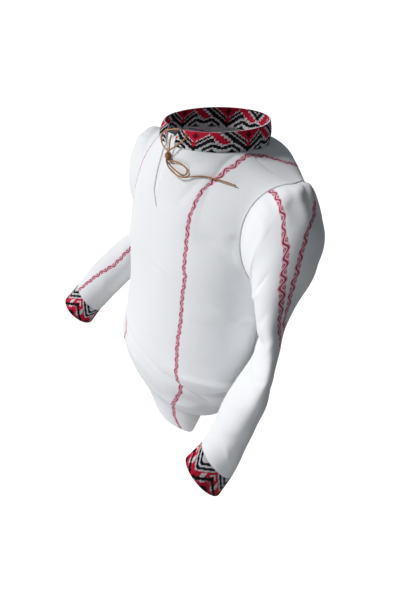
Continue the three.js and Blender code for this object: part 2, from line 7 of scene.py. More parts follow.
# %% Load the frame
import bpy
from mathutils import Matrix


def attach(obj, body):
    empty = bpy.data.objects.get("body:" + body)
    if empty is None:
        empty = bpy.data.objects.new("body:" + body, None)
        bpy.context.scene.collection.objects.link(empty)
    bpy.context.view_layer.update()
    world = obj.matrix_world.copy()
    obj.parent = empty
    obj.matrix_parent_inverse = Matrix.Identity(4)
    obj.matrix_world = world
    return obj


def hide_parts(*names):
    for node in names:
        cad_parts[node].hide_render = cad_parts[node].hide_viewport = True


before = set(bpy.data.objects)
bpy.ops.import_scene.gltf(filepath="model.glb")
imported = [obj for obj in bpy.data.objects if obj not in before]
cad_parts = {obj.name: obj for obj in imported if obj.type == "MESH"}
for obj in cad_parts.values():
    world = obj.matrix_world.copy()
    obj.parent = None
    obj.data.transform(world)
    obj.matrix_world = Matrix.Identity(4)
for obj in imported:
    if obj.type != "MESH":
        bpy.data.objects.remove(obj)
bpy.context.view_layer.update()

# %% [markdown]
# ## Camera
# Everything is placed in the frame's own metres, so the camera can come first. It looks down at the
# wearer's left front from a little above the collar, and it is rolled by some degrees. The lens is
# stated by its focal length in pixels, which turns into millimetres of Blender's 36 mm sensor.

# %% Camera
import math
import bmesh
import bpy
import numpy as np
from mathutils import Matrix

IMAGE_HEIGHT = 601               # pixels
FOCAL_PIXELS = 501.3226
SENSOR = 36.0                    # mm
EYE = (0.7217676, -0.5991633, 0.1357509)
AZIMUTH, ELEVATION, ROLL = (math.radians(a) for a in (49.78362, 27.78027, 8.5734))

back = np.array([math.sin(AZIMUTH) * math.cos(ELEVATION), -math.cos(AZIMUTH) * math.cos(ELEVATION),
                 math.sin(ELEVATION)])
level = np.array([math.cos(AZIMUTH), math.sin(AZIMUTH), 0.0])
upright = np.cross(back, level)
right = math.cos(ROLL) * level + math.sin(ROLL) * upright
above = -math.sin(ROLL) * level + math.cos(ROLL) * upright
camera_data = bpy.data.cameras.new("camera")
camera_data.sensor_width = SENSOR
camera_data.lens = FOCAL_PIXELS * SENSOR / IMAGE_HEIGHT
camera = bpy.data.objects.new("camera", camera_data)
camera.matrix_world = Matrix.Translation(EYE) @ Matrix(np.column_stack([right, above, back])).to_4x4()
bpy.context.scene.collection.objects.link(camera)
bpy.context.scene.camera = camera
print("lens in mm:", round(camera_data.lens, 2))

# %% [markdown]
# ## Small tools
# Blender takes a mesh as lists of points and faces. Most pieces here are grids, so numpy works out the
# points in millimetres and one helper turns them into a mesh in metres, with faces and UV maps.

# %% Mesh tools
MM = 0.001


def grid_faces(rows, columns, closed=False):
    """Quads of a grid. Where it is closed, the last column joins the first."""
    r = np.arange(rows - 1)[:, None]
    k = np.arange(columns if closed else columns - 1)[None, :]
    after = (k + 1) % columns
    corners = [r * columns + k, r * columns + after, (r + 1) * columns + after, (r + 1) * columns + k]
    return np.stack(corners, axis=-1).reshape(-1, 4)


def make_mesh(name, points, faces, maps=None):
    """A smooth mesh from points in millimetres, with UV maps as {name: one pair for each corner}."""
    mesh = bpy.data.meshes.new(name)
    corners = [[int(corner) for corner in face] for face in faces]
    mesh.from_pydata((np.asarray(points).reshape(-1, 3) * MM).tolist(), [], corners)
    mesh.polygons.foreach_set("use_smooth", np.ones(len(mesh.polygons), dtype=bool))
    for map_name, values in (maps or {}).items():
        layer = mesh.uv_layers.new(name=map_name)
        layer.uv.foreach_set("vector", np.asarray(values, dtype=np.float32).ravel())
    piece = bpy.data.objects.new(name, mesh)
    bpy.context.scene.collection.objects.link(piece)
    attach(piece, "root")
    return piece


def catmull_rom(table, t):
    """A smooth row of a table, with t from 0 at its first row to 1 at its last."""
    table = np.asarray(table, dtype=float)
    last = len(table) - 1
    at = np.clip(t, 0, 1) * last
    i = np.minimum(at.astype(int), last - 1)
    f = (at - i)[..., None]
    a, b, c, d = (table[np.clip(i + k, 0, last)] for k in (-1, 0, 1, 2))
    return 0.5 * (2 * b + (c - a) * f + (2 * a - 5 * b + 4 * c - d) * f**2 + (3 * b - a - 3 * c + d) * f**3)


def ease(x, start, end):
    """Runs softly from 0 at start to 1 at end."""
    t = np.clip((x - start) / (end - start), 0, 1)
    return t * t * (3 - 2 * t)


def unit(v):
    return v / np.maximum(np.linalg.norm(v, axis=-1, keepdims=True), 1e-9)


def run_along(line):
    """The distance along a line of points, from 0 at its first."""
    return np.concatenate([[0], np.cumsum(np.linalg.norm(np.diff(line, axis=0), axis=1))])


def places_on(line, run, at):
    """The points of a line at the given distances along it."""
    return np.stack([np.interp(at, run, line[:, k]) for k in range(3)], axis=-1)


# %% [markdown]
# ## Materials
# A woven cloth shows three things: its threads, which are relief finer than any mesh, slubs, where a
# thread is thicker, and the little hairs that make its edges glow. The threads and slubs are one node
# group, because the cotton and the ground of the embroidery both need them. It reads a UV map that is
# laid out in metres, so the weave keeps its size on every piece.

# %% Node tools
def add_node(tree, kind, inputs=None, **settings):
    """A node with its settings, and its inputs given as values or as sockets to link."""
    node = tree.nodes.new(kind)
    for key, value in settings.items():
        setattr(node, key, value)
    for key, value in (inputs or {}).items():
        if isinstance(value, bpy.types.NodeSocket):
            tree.links.new(value, node.inputs[key])
        else:
            node.inputs[key].default_value = value
    return node


def math_node(tree, operation, *values):
    return add_node(tree, "ShaderNodeMath", dict(enumerate(values)), operation=operation).outputs[0]


def mix_colors(tree, factor, a, b, blend="MIX"):
    node = add_node(tree, "ShaderNodeMix", {0: factor, 6: a, 7: b}, data_type="RGBA", blend_type=blend)
    return node.outputs[2]


def new_group(name, inputs, outputs):
    """An empty node group with named inputs {name: (kind, value)} and outputs {name: kind}."""
    group = bpy.data.node_groups.new(name, "ShaderNodeTree")
    for socket_name, (kind, value) in inputs.items():
        socket = group.interface.new_socket(socket_name, in_out="INPUT", socket_type=kind)
        if value is not None:
            socket.default_value = value
    for socket_name, kind in outputs.items():
        group.interface.new_socket(socket_name, in_out="OUTPUT", socket_type=kind)
    return group, group.nodes.new("NodeGroupInput"), group.nodes.new("NodeGroupOutput")


def new_material(name, **shader_values):
    material = bpy.data.materials.new(name)
    material.use_nodes = True
    shader = material.node_tree.nodes["Principled BSDF"]
    for key, value in shader_values.items():
        shader.inputs[key.replace("_", " ")].default_value = value
    return material, material.node_tree, shader


# %% Plain weave group
FLOAT, COLOR, VECTOR = "NodeSocketFloat", "NodeSocketColor", "NodeSocketVector"
SLUB_LONG, SLUB_FINE = 160.0, 2600.0     # noise steps in a metre, along a thread and across it
SLUB_SHADE = 0.2                 # between the darkest and the lightest thread
weave, given, result = new_group(
    "Plain weave",
    {"Cloth": (VECTOR, None), "Thread": (FLOAT, 0.0006), "Slub": (FLOAT, 0.5)},
    {"Height": FLOAT, "Shade": FLOAT},
)
scaled = add_node(weave, "ShaderNodeVectorMath", {0: given.outputs["Cloth"]}, operation="SCALE")
weave.links.new(math_node(weave, "DIVIDE", math.pi, given.outputs["Thread"]), scaled.inputs["Scale"])
parts = add_node(weave, "ShaderNodeSeparateXYZ", {0: scaled.outputs[0]})
over = math_node(weave, "MULTIPLY", math_node(weave, "SINE", parts.outputs[0]),
                 math_node(weave, "SINE", parts.outputs[1]))
slubs = []
for stretch in ((SLUB_LONG, SLUB_FINE, 1.0), (SLUB_FINE, SLUB_LONG, 1.0)):
    long_threads = add_node(weave, "ShaderNodeMapping", {0: given.outputs["Cloth"], "Scale": stretch})
    noise = add_node(weave, "ShaderNodeTexNoise", {"Vector": long_threads.outputs[0], "Scale": 1.0,
                                                   "Detail": 2.0})
    slubs.append(noise.outputs["Fac"])
both = math_node(weave, "MULTIPLY", math_node(weave, "ADD", *slubs), given.outputs["Slub"])
weave.links.new(math_node(weave, "MULTIPLY_ADD", over, 0.5, both), result.inputs["Height"])
shade = math_node(weave, "MULTIPLY_ADD", both, SLUB_SHADE, 1 - SLUB_SHADE / 2)
weave.links.new(shade, result.inputs["Shade"])
print("weave group:", len(weave.nodes), "nodes")

# %% [markdown]
# The stripes are woven into the cotton: a pink ribbon about 9 mm wide with a dark rose scroll that runs
# along it in curls. The second UV map measures along a stripe and across it, so the scroll's stem is
# one sine wave of the distance along, and each curl is a ring round a middle beside the stem.

# %% Stripe group
STRIPE_HALF = 0.0040
SCALLOP = 0.0007
SCROLL = 0.024                   # length of one full S of the scroll
STEM_SWING, STEM_HALF = 0.0029, 0.0013
CURL_OFFSET, CURL_RADIUS, CURL_HALF = 0.0023, 0.0018, 0.0007
MASK_SWING = 0.25                # how far the ribbon's edges follow the scroll
stripe, given, result = new_group(
    "Scroll stripe",
    {"Stripe": (VECTOR, None), "Ribbon": (COLOR, (0.80, 0.42, 0.50, 1)),
     "Scroll": (COLOR, (0.27, 0.012, 0.05, 1))},
    {"Color": COLOR, "Mask": FLOAT},
)
place = add_node(stripe, "ShaderNodeSeparateXYZ", {0: given.outputs["Stripe"]})
along, across = place.outputs[0], place.outputs[1]
wave = math_node(stripe, "SINE", math_node(stripe, "MULTIPLY", along, 2 * math.pi / SCROLL))
swing = math_node(stripe, "MULTIPLY", wave, STEM_SWING)
stem = math_node(stripe, "ABSOLUTE", math_node(stripe, "SUBTRACT", across, swing))
on_stem = math_node(stripe, "LESS_THAN", stem, STEM_HALF)
# a curl sits in each hollow of the S, on alternate sides, as a ring with an open middle
ahead = math_node(stripe, "SUBTRACT", math_node(stripe, "MODULO", along, SCROLL / 2), SCROLL / 4)
beside = math_node(stripe, "ADD", across, math_node(stripe, "MULTIPLY", math_node(
    stripe, "SIGN", wave), CURL_OFFSET))
ring = math_node(stripe, "SQRT", math_node(stripe, "ADD", math_node(stripe, "MULTIPLY", ahead, ahead),
                                           math_node(stripe, "MULTIPLY", beside, beside)))
on_ring = math_node(stripe, "LESS_THAN", math_node(
    stripe, "ABSOLUTE", math_node(stripe, "SUBTRACT", ring, CURL_RADIUS)), CURL_HALF)
dark = math_node(stripe, "MAXIMUM", on_stem, on_ring)
colors = mix_colors(stripe, dark, given.outputs["Ribbon"], given.outputs["Scroll"])
edge = math_node(stripe, "MULTIPLY_ADD", math_node(stripe, "ABSOLUTE", wave), SCALLOP, STRIPE_HALF)
off_middle = math_node(stripe, "MULTIPLY_ADD", swing, -MASK_SWING, across)
mask = math_node(stripe, "LESS_THAN", math_node(stripe, "ABSOLUTE", off_middle), edge)
stripe.links.new(colors, result.inputs["Color"])
stripe.links.new(mask, result.inputs["Mask"])
print("stripe group:", len(stripe.nodes), "nodes")

# %% Cotton
COTTON_COLOR = (0.84, 0.85, 0.87, 1)
COTTON_THREAD, COTTON_SLUB = 0.0006, 0.5
COTTON_RELIEF, COTTON_BUMP = 0.00012, 0.6        # height in metres, and how much of it shows


def weave_node(tree, thread, slub):
    cloth_map = add_node(tree, "ShaderNodeUVMap", uv_map="cloth")
    return add_node(tree, "ShaderNodeGroup", {"Cloth": cloth_map.outputs[0], "Thread": thread, "Slub": slub},
                    node_tree=weave)


def link_bump(tree, shader, height, distance, strength):
    bump = add_node(tree, "ShaderNodeBump", {"Height": height, "Distance": distance, "Strength": strength})
    tree.links.new(bump.outputs[0], shader.inputs["Normal"])


cotton, tree, shader = new_material("cotton", Roughness=0.9, Sheen_Weight=0.12, Sheen_Roughness=0.6)
threads = weave_node(tree, COTTON_THREAD, COTTON_SLUB)
stripe_map = add_node(tree, "ShaderNodeUVMap", uv_map="stripe")
ribbon = add_node(tree, "ShaderNodeGroup", {"Stripe": stripe_map.outputs[0]}, node_tree=stripe)
mixed = mix_colors(tree, ribbon.outputs["Mask"], COTTON_COLOR, ribbon.outputs["Color"])
shaded = add_node(tree, "ShaderNodeCombineColor", {k: threads.outputs["Shade"] for k in range(3)})
tree.links.new(mix_colors(tree, 1.0, mixed, shaded.outputs[0], "MULTIPLY"), shader.inputs["Base Color"])
link_bump(tree, shader, threads.outputs["Height"], COTTON_RELIEF, COTTON_BUMP)

# %% [markdown]
# Cross-stitch covers its ground with small crosses of thread, one in each square of a chart. The chart
# is a rule in code further down, which gives every square of the band its thread. The material reads
# that from a color attribute, and adds what all the crosses share: two strands over each other, and the
# ground between them, which is grey because it lies in their shade.

# %% Cross-stitch
# painted shade: the white ground between the crosses, painted grey as the shade that they cast on it
GAP_PAINTED_SHADE = (0.30, 0.30, 0.33, 1)
WORN_COLOR, WORN = (0.02, 0.01, 0.015, 1), 0.3
STRAND = 2.2                     # a strand reaches 1 / STRAND of a square to each side of its diagonal
YARN_THREAD, YARN_SLUB, YARN_SHARE = 0.0007, 0.4, 0.3
STITCH_RELIEF, STITCH_BUMP = 0.0004, 0.7

cross_stitch, tree, shader = new_material("cross_stitch", Roughness=0.85, Specular_IOR_Level=0.05)
threads = weave_node(tree, YARN_THREAD, YARN_SLUB)
chart_color = add_node(tree, "ShaderNodeAttribute", attribute_name="thread", attribute_type="GEOMETRY")
cell_map = add_node(tree, "ShaderNodeUVMap", uv_map="cell")
cell = add_node(tree, "ShaderNodeVectorMath", {0: cell_map.outputs[0]}, operation="FRACTION")
place = add_node(tree, "ShaderNodeSeparateXYZ", {0: cell.outputs[0]})
x, y = place.outputs[0], place.outputs[1]
strands = []
for distance in (math_node(tree, "SUBTRACT", x, y),
                 math_node(tree, "SUBTRACT", math_node(tree, "ADD", x, y), 1.0)):
    near = math_node(tree, "SUBTRACT", 1.0, math_node(tree, "MULTIPLY", math_node(
        tree, "ABSOLUTE", distance), STRAND))
    strands.append(math_node(tree, "MAXIMUM", near, 0.0))
crossing = math_node(tree, "MAXIMUM", *strands)
covered = math_node(tree, "GREATER_THAN", crossing, 0.0)
tint = add_node(tree, "ShaderNodeTexNoise", {"Vector": cell_map.outputs[0], "Scale": 0.9, "Detail": 1.0})
worn = mix_colors(tree, math_node(tree, "MULTIPLY", tint.outputs["Fac"], WORN),
                  chart_color.outputs["Color"], WORN_COLOR, "MULTIPLY")
# where no strand covers a square, its ground shows the painted shade
tree.links.new(mix_colors(tree, covered, GAP_PAINTED_SHADE, worn), shader.inputs["Base Color"])
height = math_node(tree, "MULTIPLY_ADD", threads.outputs["Height"], YARN_SHARE, crossing)
link_bump(tree, shader, height, STITCH_RELIEF, STITCH_BUMP)

# %% [markdown]
# The tie is of tan leather. Its grain is a fine noise, whose high spots are paler and rougher, where the
# finish has rubbed off, and a coarser noise makes it uneven in color.

# %% Leather
LEATHER_DARK, LEATHER_TAN = (0.03, 0.01, 0.004, 1), (0.62, 0.27, 0.08, 1)
RUBBED_COLOR, RUBBED = (0.60, 0.36, 0.18, 1), 0.2
LEATHER_RELIEF, LEATHER_BUMP = 0.0003, 0.5

leather, tree, shader = new_material("leather", Roughness=0.55)
spots = add_node(tree, "ShaderNodeTexNoise", {"Scale": 900.0, "Detail": 4.0, "Roughness": 0.6})
patches = add_node(tree, "ShaderNodeTexNoise", {"Scale": 90.0, "Detail": 2.0})
place = add_node(tree, "ShaderNodeTexCoord")
for texture in (spots, patches):
    tree.links.new(place.outputs["Object"], texture.inputs["Vector"])
tan = mix_colors(tree, patches.outputs["Fac"], LEATHER_DARK, LEATHER_TAN)
tree.links.new(mix_colors(tree, math_node(tree, "MULTIPLY", spots.outputs["Fac"], RUBBED), tan,
                          RUBBED_COLOR), shader.inputs["Base Color"])
tree.links.new(math_node(tree, "MULTIPLY_ADD", spots.outputs["Fac"], 0.3, 0.4), shader.inputs["Roughness"])
link_bump(tree, shader, spots.outputs["Fac"], LEATHER_RELIEF, LEATHER_BUMP)

# %% [markdown]
# ## The tie
# Two thongs leave the collar's left end. One crosses the slit, comes down to the knot, bows out to the
# side and goes back up. The other hangs loose over it and ends in the open, to the wearer's left. Both
# could be curves with a bevel. They are tubes here, because a thong is wider than it is thick.

# %% Tie
THONG_WIDTH, THONG_DEPTH = 2.6, 2.0
THONG_SIDES, THONG_STEP = 10, 1.6
ROUTE_STEPS = 40                 # for each point of a route, before it is cut into even steps
THONG_END = 0.6                  # size of its last ring, which rounds off the end
THONG_FACES = (0.35, -1.0, 0.0)  # the flat side faces away from the chest
TIE_LOOP = [
    [26, -109, -5], [17, -112.5, -7], [6, -115.5, -10], [-4, -117.5, -14], [-10, -118.5, -20],
    [-11.5, -118.5, -28], [-7, -118.5, -35.5], [1, -118.2, -40], [8.2, -117.9, -42.5],
    [11.4, -117.7, -46], [11.6, -117.7, -51], [11.6, -117.7, -56], [12.6, -117.9, -60],
    [17, -118, -62.5], [24, -117.7, -65], [35, -116, -68.8], [46.5, -113.2, -72.2],
    [54, -109.8, -72.5], [57.5, -107.4, -68], [55, -107.4, -62], [47.5, -109.4, -58],
    [37, -112.6, -55.5], [27, -115.8, -56.2], [20, -117.4, -57.8], [15.6, -117.8, -57],
    [14.4, -117.7, -54.4], [14.4, -117.7, -47.5], [14.6, -118, -40.5], [14.8, -118.5, -33],
    [15, -118, -24], [15, -116.8, -16],
]
TIE_TAIL = [
    [38, -106, -8], [40.5, -105.6, -13], [38.5, -107.6, -19], [33, -111.4, -26], [27, -115, -32.5],
    [20.5, -119, -38.5], [15, -121.1, -43], [13, -120.5, -48], [13, -120.5, -54],
    [14, -121, -58.5], [18.5, -121.4, -63.5], [26, -121, -68.5], [36, -119.6, -72.6],
    [46, -117, -75.4], [56, -112.4, -75.5], [65.3, -106.2, -72.4], [75, -99.2, -69],
    [85.2, -92.2, -67], [97, -84.6, -66.2], [112.6, -77.2, -66.5], [124, -71, -67.4],
    [135.2, -65.2, -68.8],
]


def tube(name, route, width, depth, step):
    """A rounded strip of leather along a smooth route, closed at both ends, and its middle line."""
    smooth = catmull_rom(route, np.linspace(0, 1, ROUTE_STEPS * len(route)))
    run = run_along(smooth)
    count = int(round(run[-1] / step)) + 1
    path = places_on(smooth, run, np.linspace(0, run[-1], count))
    ahead = unit(np.gradient(path, axis=0))
    wide = unit(np.cross(ahead, np.array(THONG_FACES)))
    deep = np.cross(wide, ahead)
    turn = np.linspace(0, 2 * np.pi, THONG_SIDES, endpoint=False)
    round_off = np.ones(count)
    round_off[[0, -1]] = THONG_END
    ring = (0.5 * width * np.cos(turn)[None, :, None] * wide[:, None]
            + 0.5 * depth * np.sin(turn)[None, :, None] * deep[:, None]) * round_off[:, None, None]
    points = (path[:, None] + ring).reshape(-1, 3)
    faces = grid_faces(count, THONG_SIDES, closed=True).tolist()
    faces += [list(range(THONG_SIDES))[::-1], list(range(len(points) - THONG_SIDES, len(points)))]
    piece = make_mesh(name, points, faces)
    piece.data.materials.append(leather)
    return piece, path * MM


for name, route in (("tie_loop", TIE_LOOP), ("tie_tail", TIE_TAIL)):
    piece, path = tube("thong_" + name, route, THONG_WIDTH, THONG_DEPTH, THONG_STEP)
    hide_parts(name)
    print(name, "length in m:", round(run_along(path)[-1], 4))

# %% Knot
KNOT_AT = np.array([13, -118.7, -50.8])
KNOT_TURNS, KNOT_PITCH, KNOT_START = 3.1, 2.25, 1.2
KNOT_WIDE, KNOT_DEEP = 4.2, 3.864
KNOT_THONG, KNOT_STEP, KNOT_POINTS = 2.2, 1.1, 60
sweep = np.linspace(0, 1, KNOT_POINTS)
coil_angle = 2 * np.pi * KNOT_TURNS * sweep + KNOT_START
coil = KNOT_AT + np.stack([KNOT_WIDE * np.cos(coil_angle), KNOT_DEEP * np.sin(coil_angle),
                           KNOT_PITCH * KNOT_TURNS * (0.5 - sweep)], axis=1)
knot, _ = tube("knot", coil, KNOT_THONG, KNOT_THONG, KNOT_STEP)
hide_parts("tie_knot")
print("knot turns:", KNOT_TURNS)

# %% [markdown]
# ## The form of the body
# The front and the back are one wide tube of cloth under the arms. It is described as level rings,
# which are superellipses, and above them each column of the cloth rounds over to its own place on the
# neckline or the shoulder seam. That is the same description that the solids were made from, so the
# cloth lies on them everywhere. A scan or a cloth simulation would also give a form, but nobody could
# change its chest or its length by one number afterwards.

# %% Body form
# z, half width, half depth, power of the superellipse, shift along X, shift along Y
BODY_RINGS = [
    (-640, 84, 54, 2.0, 16, -8), (-596, 98, 62, 2.0, 8, -16), (-554, 124, 82, 2.0, 2, -18),
    (-512, 160, 110, 2.0, 0, -10), (-466, 187, 130, 2.05, 0, -3), (-400, 186, 126, 2.05, 2, 0),
    (-320, 184, 122, 2.1, 3, 0), (-240, 188, 123, 2.3, 0, 0),
]
BODY_SHARE = 0.62                # share of a panel's height that the rings take
NECK_WIDE, NECK_DEEP, NECK_Y, NECK_Z, NECK_SLOPE = 93, 99, -11, -25, 0.095
NECK_SHARE = 0.42                # share of a panel's half width that ends on the neckline
SHOULDER, SHOULDER_HOLLOW = np.array([195.0, 0.0, -51.0]), 6
FRONT, BACK = 1, -1
ARMHOLE = {FRONT: (36, 60, 2.5, 2.5), BACK: (27, 88, 6.5, 7.5)}  # scoop, rise, roundness inside, at the edge
SCOOP_POWER = 1.8
SLIT_BOTTOM, SLIT_HALF, SLIT_LOW, SLIT_HIGH, SLIT_REACH = 0.77, 12, -18, 4, 0.36
NEAR = 0.004                     # how far to look for the slope of the cloth


def reach(angle, power):
    return (np.abs(np.sin(angle)) ** power + np.abs(np.cos(angle)) ** power) ** (-1 / power)


def top_point(c, facing):
    """The neckline, and beside it the shoulder seam."""
    turn = np.minimum(1, np.abs(c) / NECK_SHARE) * np.pi / 2
    y = NECK_Y - facing * NECK_DEEP * np.cos(turn)
    neck = np.stack([NECK_WIDE * np.sin(turn), y, NECK_Z + NECK_SLOPE * (y - NECK_Y)], axis=-1)
    beside = (np.maximum(0, np.abs(c) - NECK_SHARE) / (1 - NECK_SHARE))[..., None]
    point = neck + (SHOULDER - neck) * beside
    point[..., 2] -= SHOULDER_HOLLOW * np.sin(np.pi * beside[..., 0])
    point[..., 0] *= np.where(c < 0, -1, 1)
    return point


def body_point(c, v, facing):
    """c runs from -1 at the right side seam to 1 at the left, and v from the hem to the top."""
    z, wide, deep, square, shift_x, shift_y = np.moveaxis(catmull_rom(BODY_RINGS, v / BODY_SHARE), -1, 0)
    scoop, rise, round_in, round_edge = ARMHOLE[facing]
    t = np.clip((v - BODY_SHARE) / (1 - BODY_SHARE), 0, 1)
    pull = np.radians(scoop) * 2 * np.sqrt(t * (1 - t)) * np.abs(c) ** SCOOP_POWER
    angle = c * np.pi / 2 - np.sign(c) * pull
    r = reach(angle, square)
    below = np.stack([shift_x + wide * r * np.sin(angle),
                      shift_y - facing * deep * r * np.cos(angle), z], axis=-1)
    above = top_point(c, facing)
    edge = ease(np.abs(c), 0, NECK_SHARE)
    end = np.radians(rise + (90 - rise) * edge)
    beside = np.maximum(0, np.abs(c) - NECK_SHARE) / (1 - NECK_SHARE)
    power = round_in + (round_edge - round_in) * beside
    inward = (1 - reach(t * end, power) * np.cos(t * end)) / (1 - reach(end, power) * np.cos(end))
    upward = reach(t * end, power) * np.sin(t * end) / (reach(end, power) * np.sin(end))
    share = np.stack([inward, inward, upward], axis=-1)
    return below + (above - below) * share


# %% [markdown]
# The cloth was drawn in below the waist, so the body hangs over there in a soft lip, most of all round
# the wearer's left front. Below it the hem runs level but for a rounded tail in front and a shallow
# one behind. Folds and creases are soft ridges and troughs between two places on the cloth, each with
# its own width and height, so they can be placed one by one.

# %% Cloth of the body
HEM_LEVEL, HEM_FREE = 0.17, 0.26
TAIL_MIDDLE, TAIL_INNER, TAIL_OUTER, BACK_DROP, BACK_SPREAD = 22, 34, 74, 0.35, 55
OVERHANG = [(0.212, 0.034, 11, 10), (0.145, 0.04, -4, -12)]  # v, width, drop, out
OVERHANG_MIDDLE, OVERHANG_SPREAD, OVERHANG_LEAST = 75, 48, 0.05
BODY_SPAN = (245, 760)           # what one unit of c and of v measures along the cloth
SLEEVE_SPAN = (0.85, 620)        # and one degree round a sleeve and one unit down it
CALM_SIDE, CALM_TOP = (0, 0.16), (0.02, 0.1)     # folds grow over these shares from the panel's edges
FOLD_END = 0.35                  # height at its two ends, as a share of that at its middle
RIPPLE = 0.5                     # height of the slow unevenness all over the cloth
ALLOWANCE, ALLOWANCE_RELIEF = (9, 14), 0.35      # where the turned-in cloth behind a seam ends
SEAM_DIP, SEAM_WIDTH, SEAM_RISE = 0.4, 1.6, 2.5
HEM_TURN, HEM_RELIEF = (11, 14), 0.4
SLIT_FADES, SLIT_OPENS, SLIT_LEANS = 1.5, 0.8, 5     # powers to the side and upward, and how soon it leans
# from (c, v) to (c, v), width and height
FRONT_FOLDS = [
    (-0.11, 0.42, 0.71, 0.28, 30, -8), (-0.11, 0.36, 0.6, 0.235, 26, 5), (0.36, 0.715, 0.93, 0.69, 18, -5),
    (0.41, 0.545, 0.76, 0.53, 12, 3), (-0.64, 0.46, -0.28, 0.35, 18, -4),
    (-0.34, 0.40, 0.30, 0.345, 10, -6), (0.28, 0.35, 0.70, 0.295, 7, -8), (0.3, 0.39, 0.64, 0.36, 8, 3.5),
    (0.46, 0.385, 0.98, 0.385, 6, 6.5), (0.60, 0.335, 0.92, 0.362, 8, -8), (0.4, 0.25, 0.72, 0.25, 11, 5),
    (0.42, 0.188, 0.86, 0.192, 8, -9),
]
BACK_FOLDS = [
    (-0.7, 0.7, -0.11, 0.56, 24, -5), (0.7, 0.72, 0.17, 0.5, 24, -5), (-0.41, 0.42, 0.3, 0.3, 22, -6),
    (-0.11, 0.36, 0.64, 0.26, 18, 5),
]
FRONT_CREASES = [
    (-0.012, 0.6, 0.087, 0.595, 5, -1.6), (0.05, 0.615, 0.2, 0.6, 6, 1.2),
    (0.42, 0.70, 0.66, 0.715, 7, -1.5), (0.7, 0.735, 0.94, 0.745, 8, 1.6),
    (0.6, 0.68, 0.95, 0.66, 9, 1.4), (0.55, 0.60, 0.9, 0.585, 10, -1.3),
    (0.66, 0.5, 0.93, 0.47, 11, -1.5), (0.18, 0.47, 0.5, 0.42, 9, 1.3), (0.5, 0.42, 0.85, 0.39, 10, 1.6),
    (0.0, 0.33, 0.3, 0.29, 9, -1.6), (0.3, 0.4, 0.62, 0.34, 8, -1.2), (-0.3, 0.55, -0.05, 0.5, 11, 1.2),
    (-0.75, 0.64, -0.4, 0.6, 12, 1.6), (-0.8, 0.55, -0.45, 0.52, 10, -1.4), (-0.9, 0.72, -0.5, 0.7, 9, -1.6),
    (-0.55, 0.3, -0.2, 0.27, 12, 1.8), (0.2, 0.78, 0.34, 0.84, 10, -1.2), (0.52, 0.565, 0.78, 0.545, 5, 2.6),
    (0.45, 0.535, 0.74, 0.52, 8, -2.2), (0.8, 0.545, 0.9, 0.552, 6, -2.6), (-0.2, 0.53, 0.02, 0.47, 7, -1.6),
    (0.1, 0.44, 0.34, 0.4, 6, -1.8), (-0.1, 0.29, 0.22, 0.25, 8, 2.2),
]
BACK_CREASES = [
    (-0.9, 0.68, -0.5, 0.66, 10, 1.6), (-0.8, 0.58, -0.35, 0.55, 12, -1.6), (0.45, 0.66, 0.92, 0.69, 9, 1.5),
    (0.3, 0.6, 0.75, 0.56, 11, -1.4), (-0.2, 0.48, 0.2, 0.45, 14, 1.7), (0.35, 0.45, 0.85, 0.4, 12, 1.5),
    (-0.85, 0.44, -0.5, 0.38, 10, 1.4), (-0.3, 0.34, 0.1, 0.29, 9, -1.5), (0.05, 0.7, 0.2, 0.62, 12, 1.2),
    (-0.4, 0.8, -0.15, 0.76, 13, -1.2), (0.2, 0.84, 0.5, 0.8, 14, 1.3), (0.5, 0.32, 0.9, 0.31, 8, -1.3),
]


def fold_height(folds, span, a, b):
    total = np.zeros_like(a)
    for a0, b0, a1, b1, width, height in folds:
        run_a, run_b = (a1 - a0) * span[0], (b1 - b0) * span[1]
        off_a, off_b = (a - a0) * span[0], (b - b0) * span[1]
        along = np.clip((off_a * run_a + off_b * run_b) / (run_a**2 + run_b**2), 0, 1)
        away = np.hypot(off_a - along * run_a, off_b - along * run_b) / width
        total += height * (FOLD_END + (1 - FOLD_END) * np.sin(np.pi * along)) * np.exp(-away**2)
    return total


def hem_start(angle):
    front = ease(np.abs(angle - TAIL_MIDDLE), TAIL_INNER, TAIL_OUTER)
    behind = np.exp(-(((180 - np.abs(angle)) / BACK_SPREAD) ** 2))
    return HEM_LEVEL * front * (1 - BACK_DROP * behind)


def sewn_edge(distance, fold):
    """Relief beside a sewn edge: it dips at the seam and is fuller over the turned-in allowance."""
    full = ease(distance, 0, SEAM_RISE) * (1 - ease(distance, *ALLOWANCE))
    return fold * full - SEAM_DIP * np.exp(-(distance / SEAM_WIDTH) ** 2)


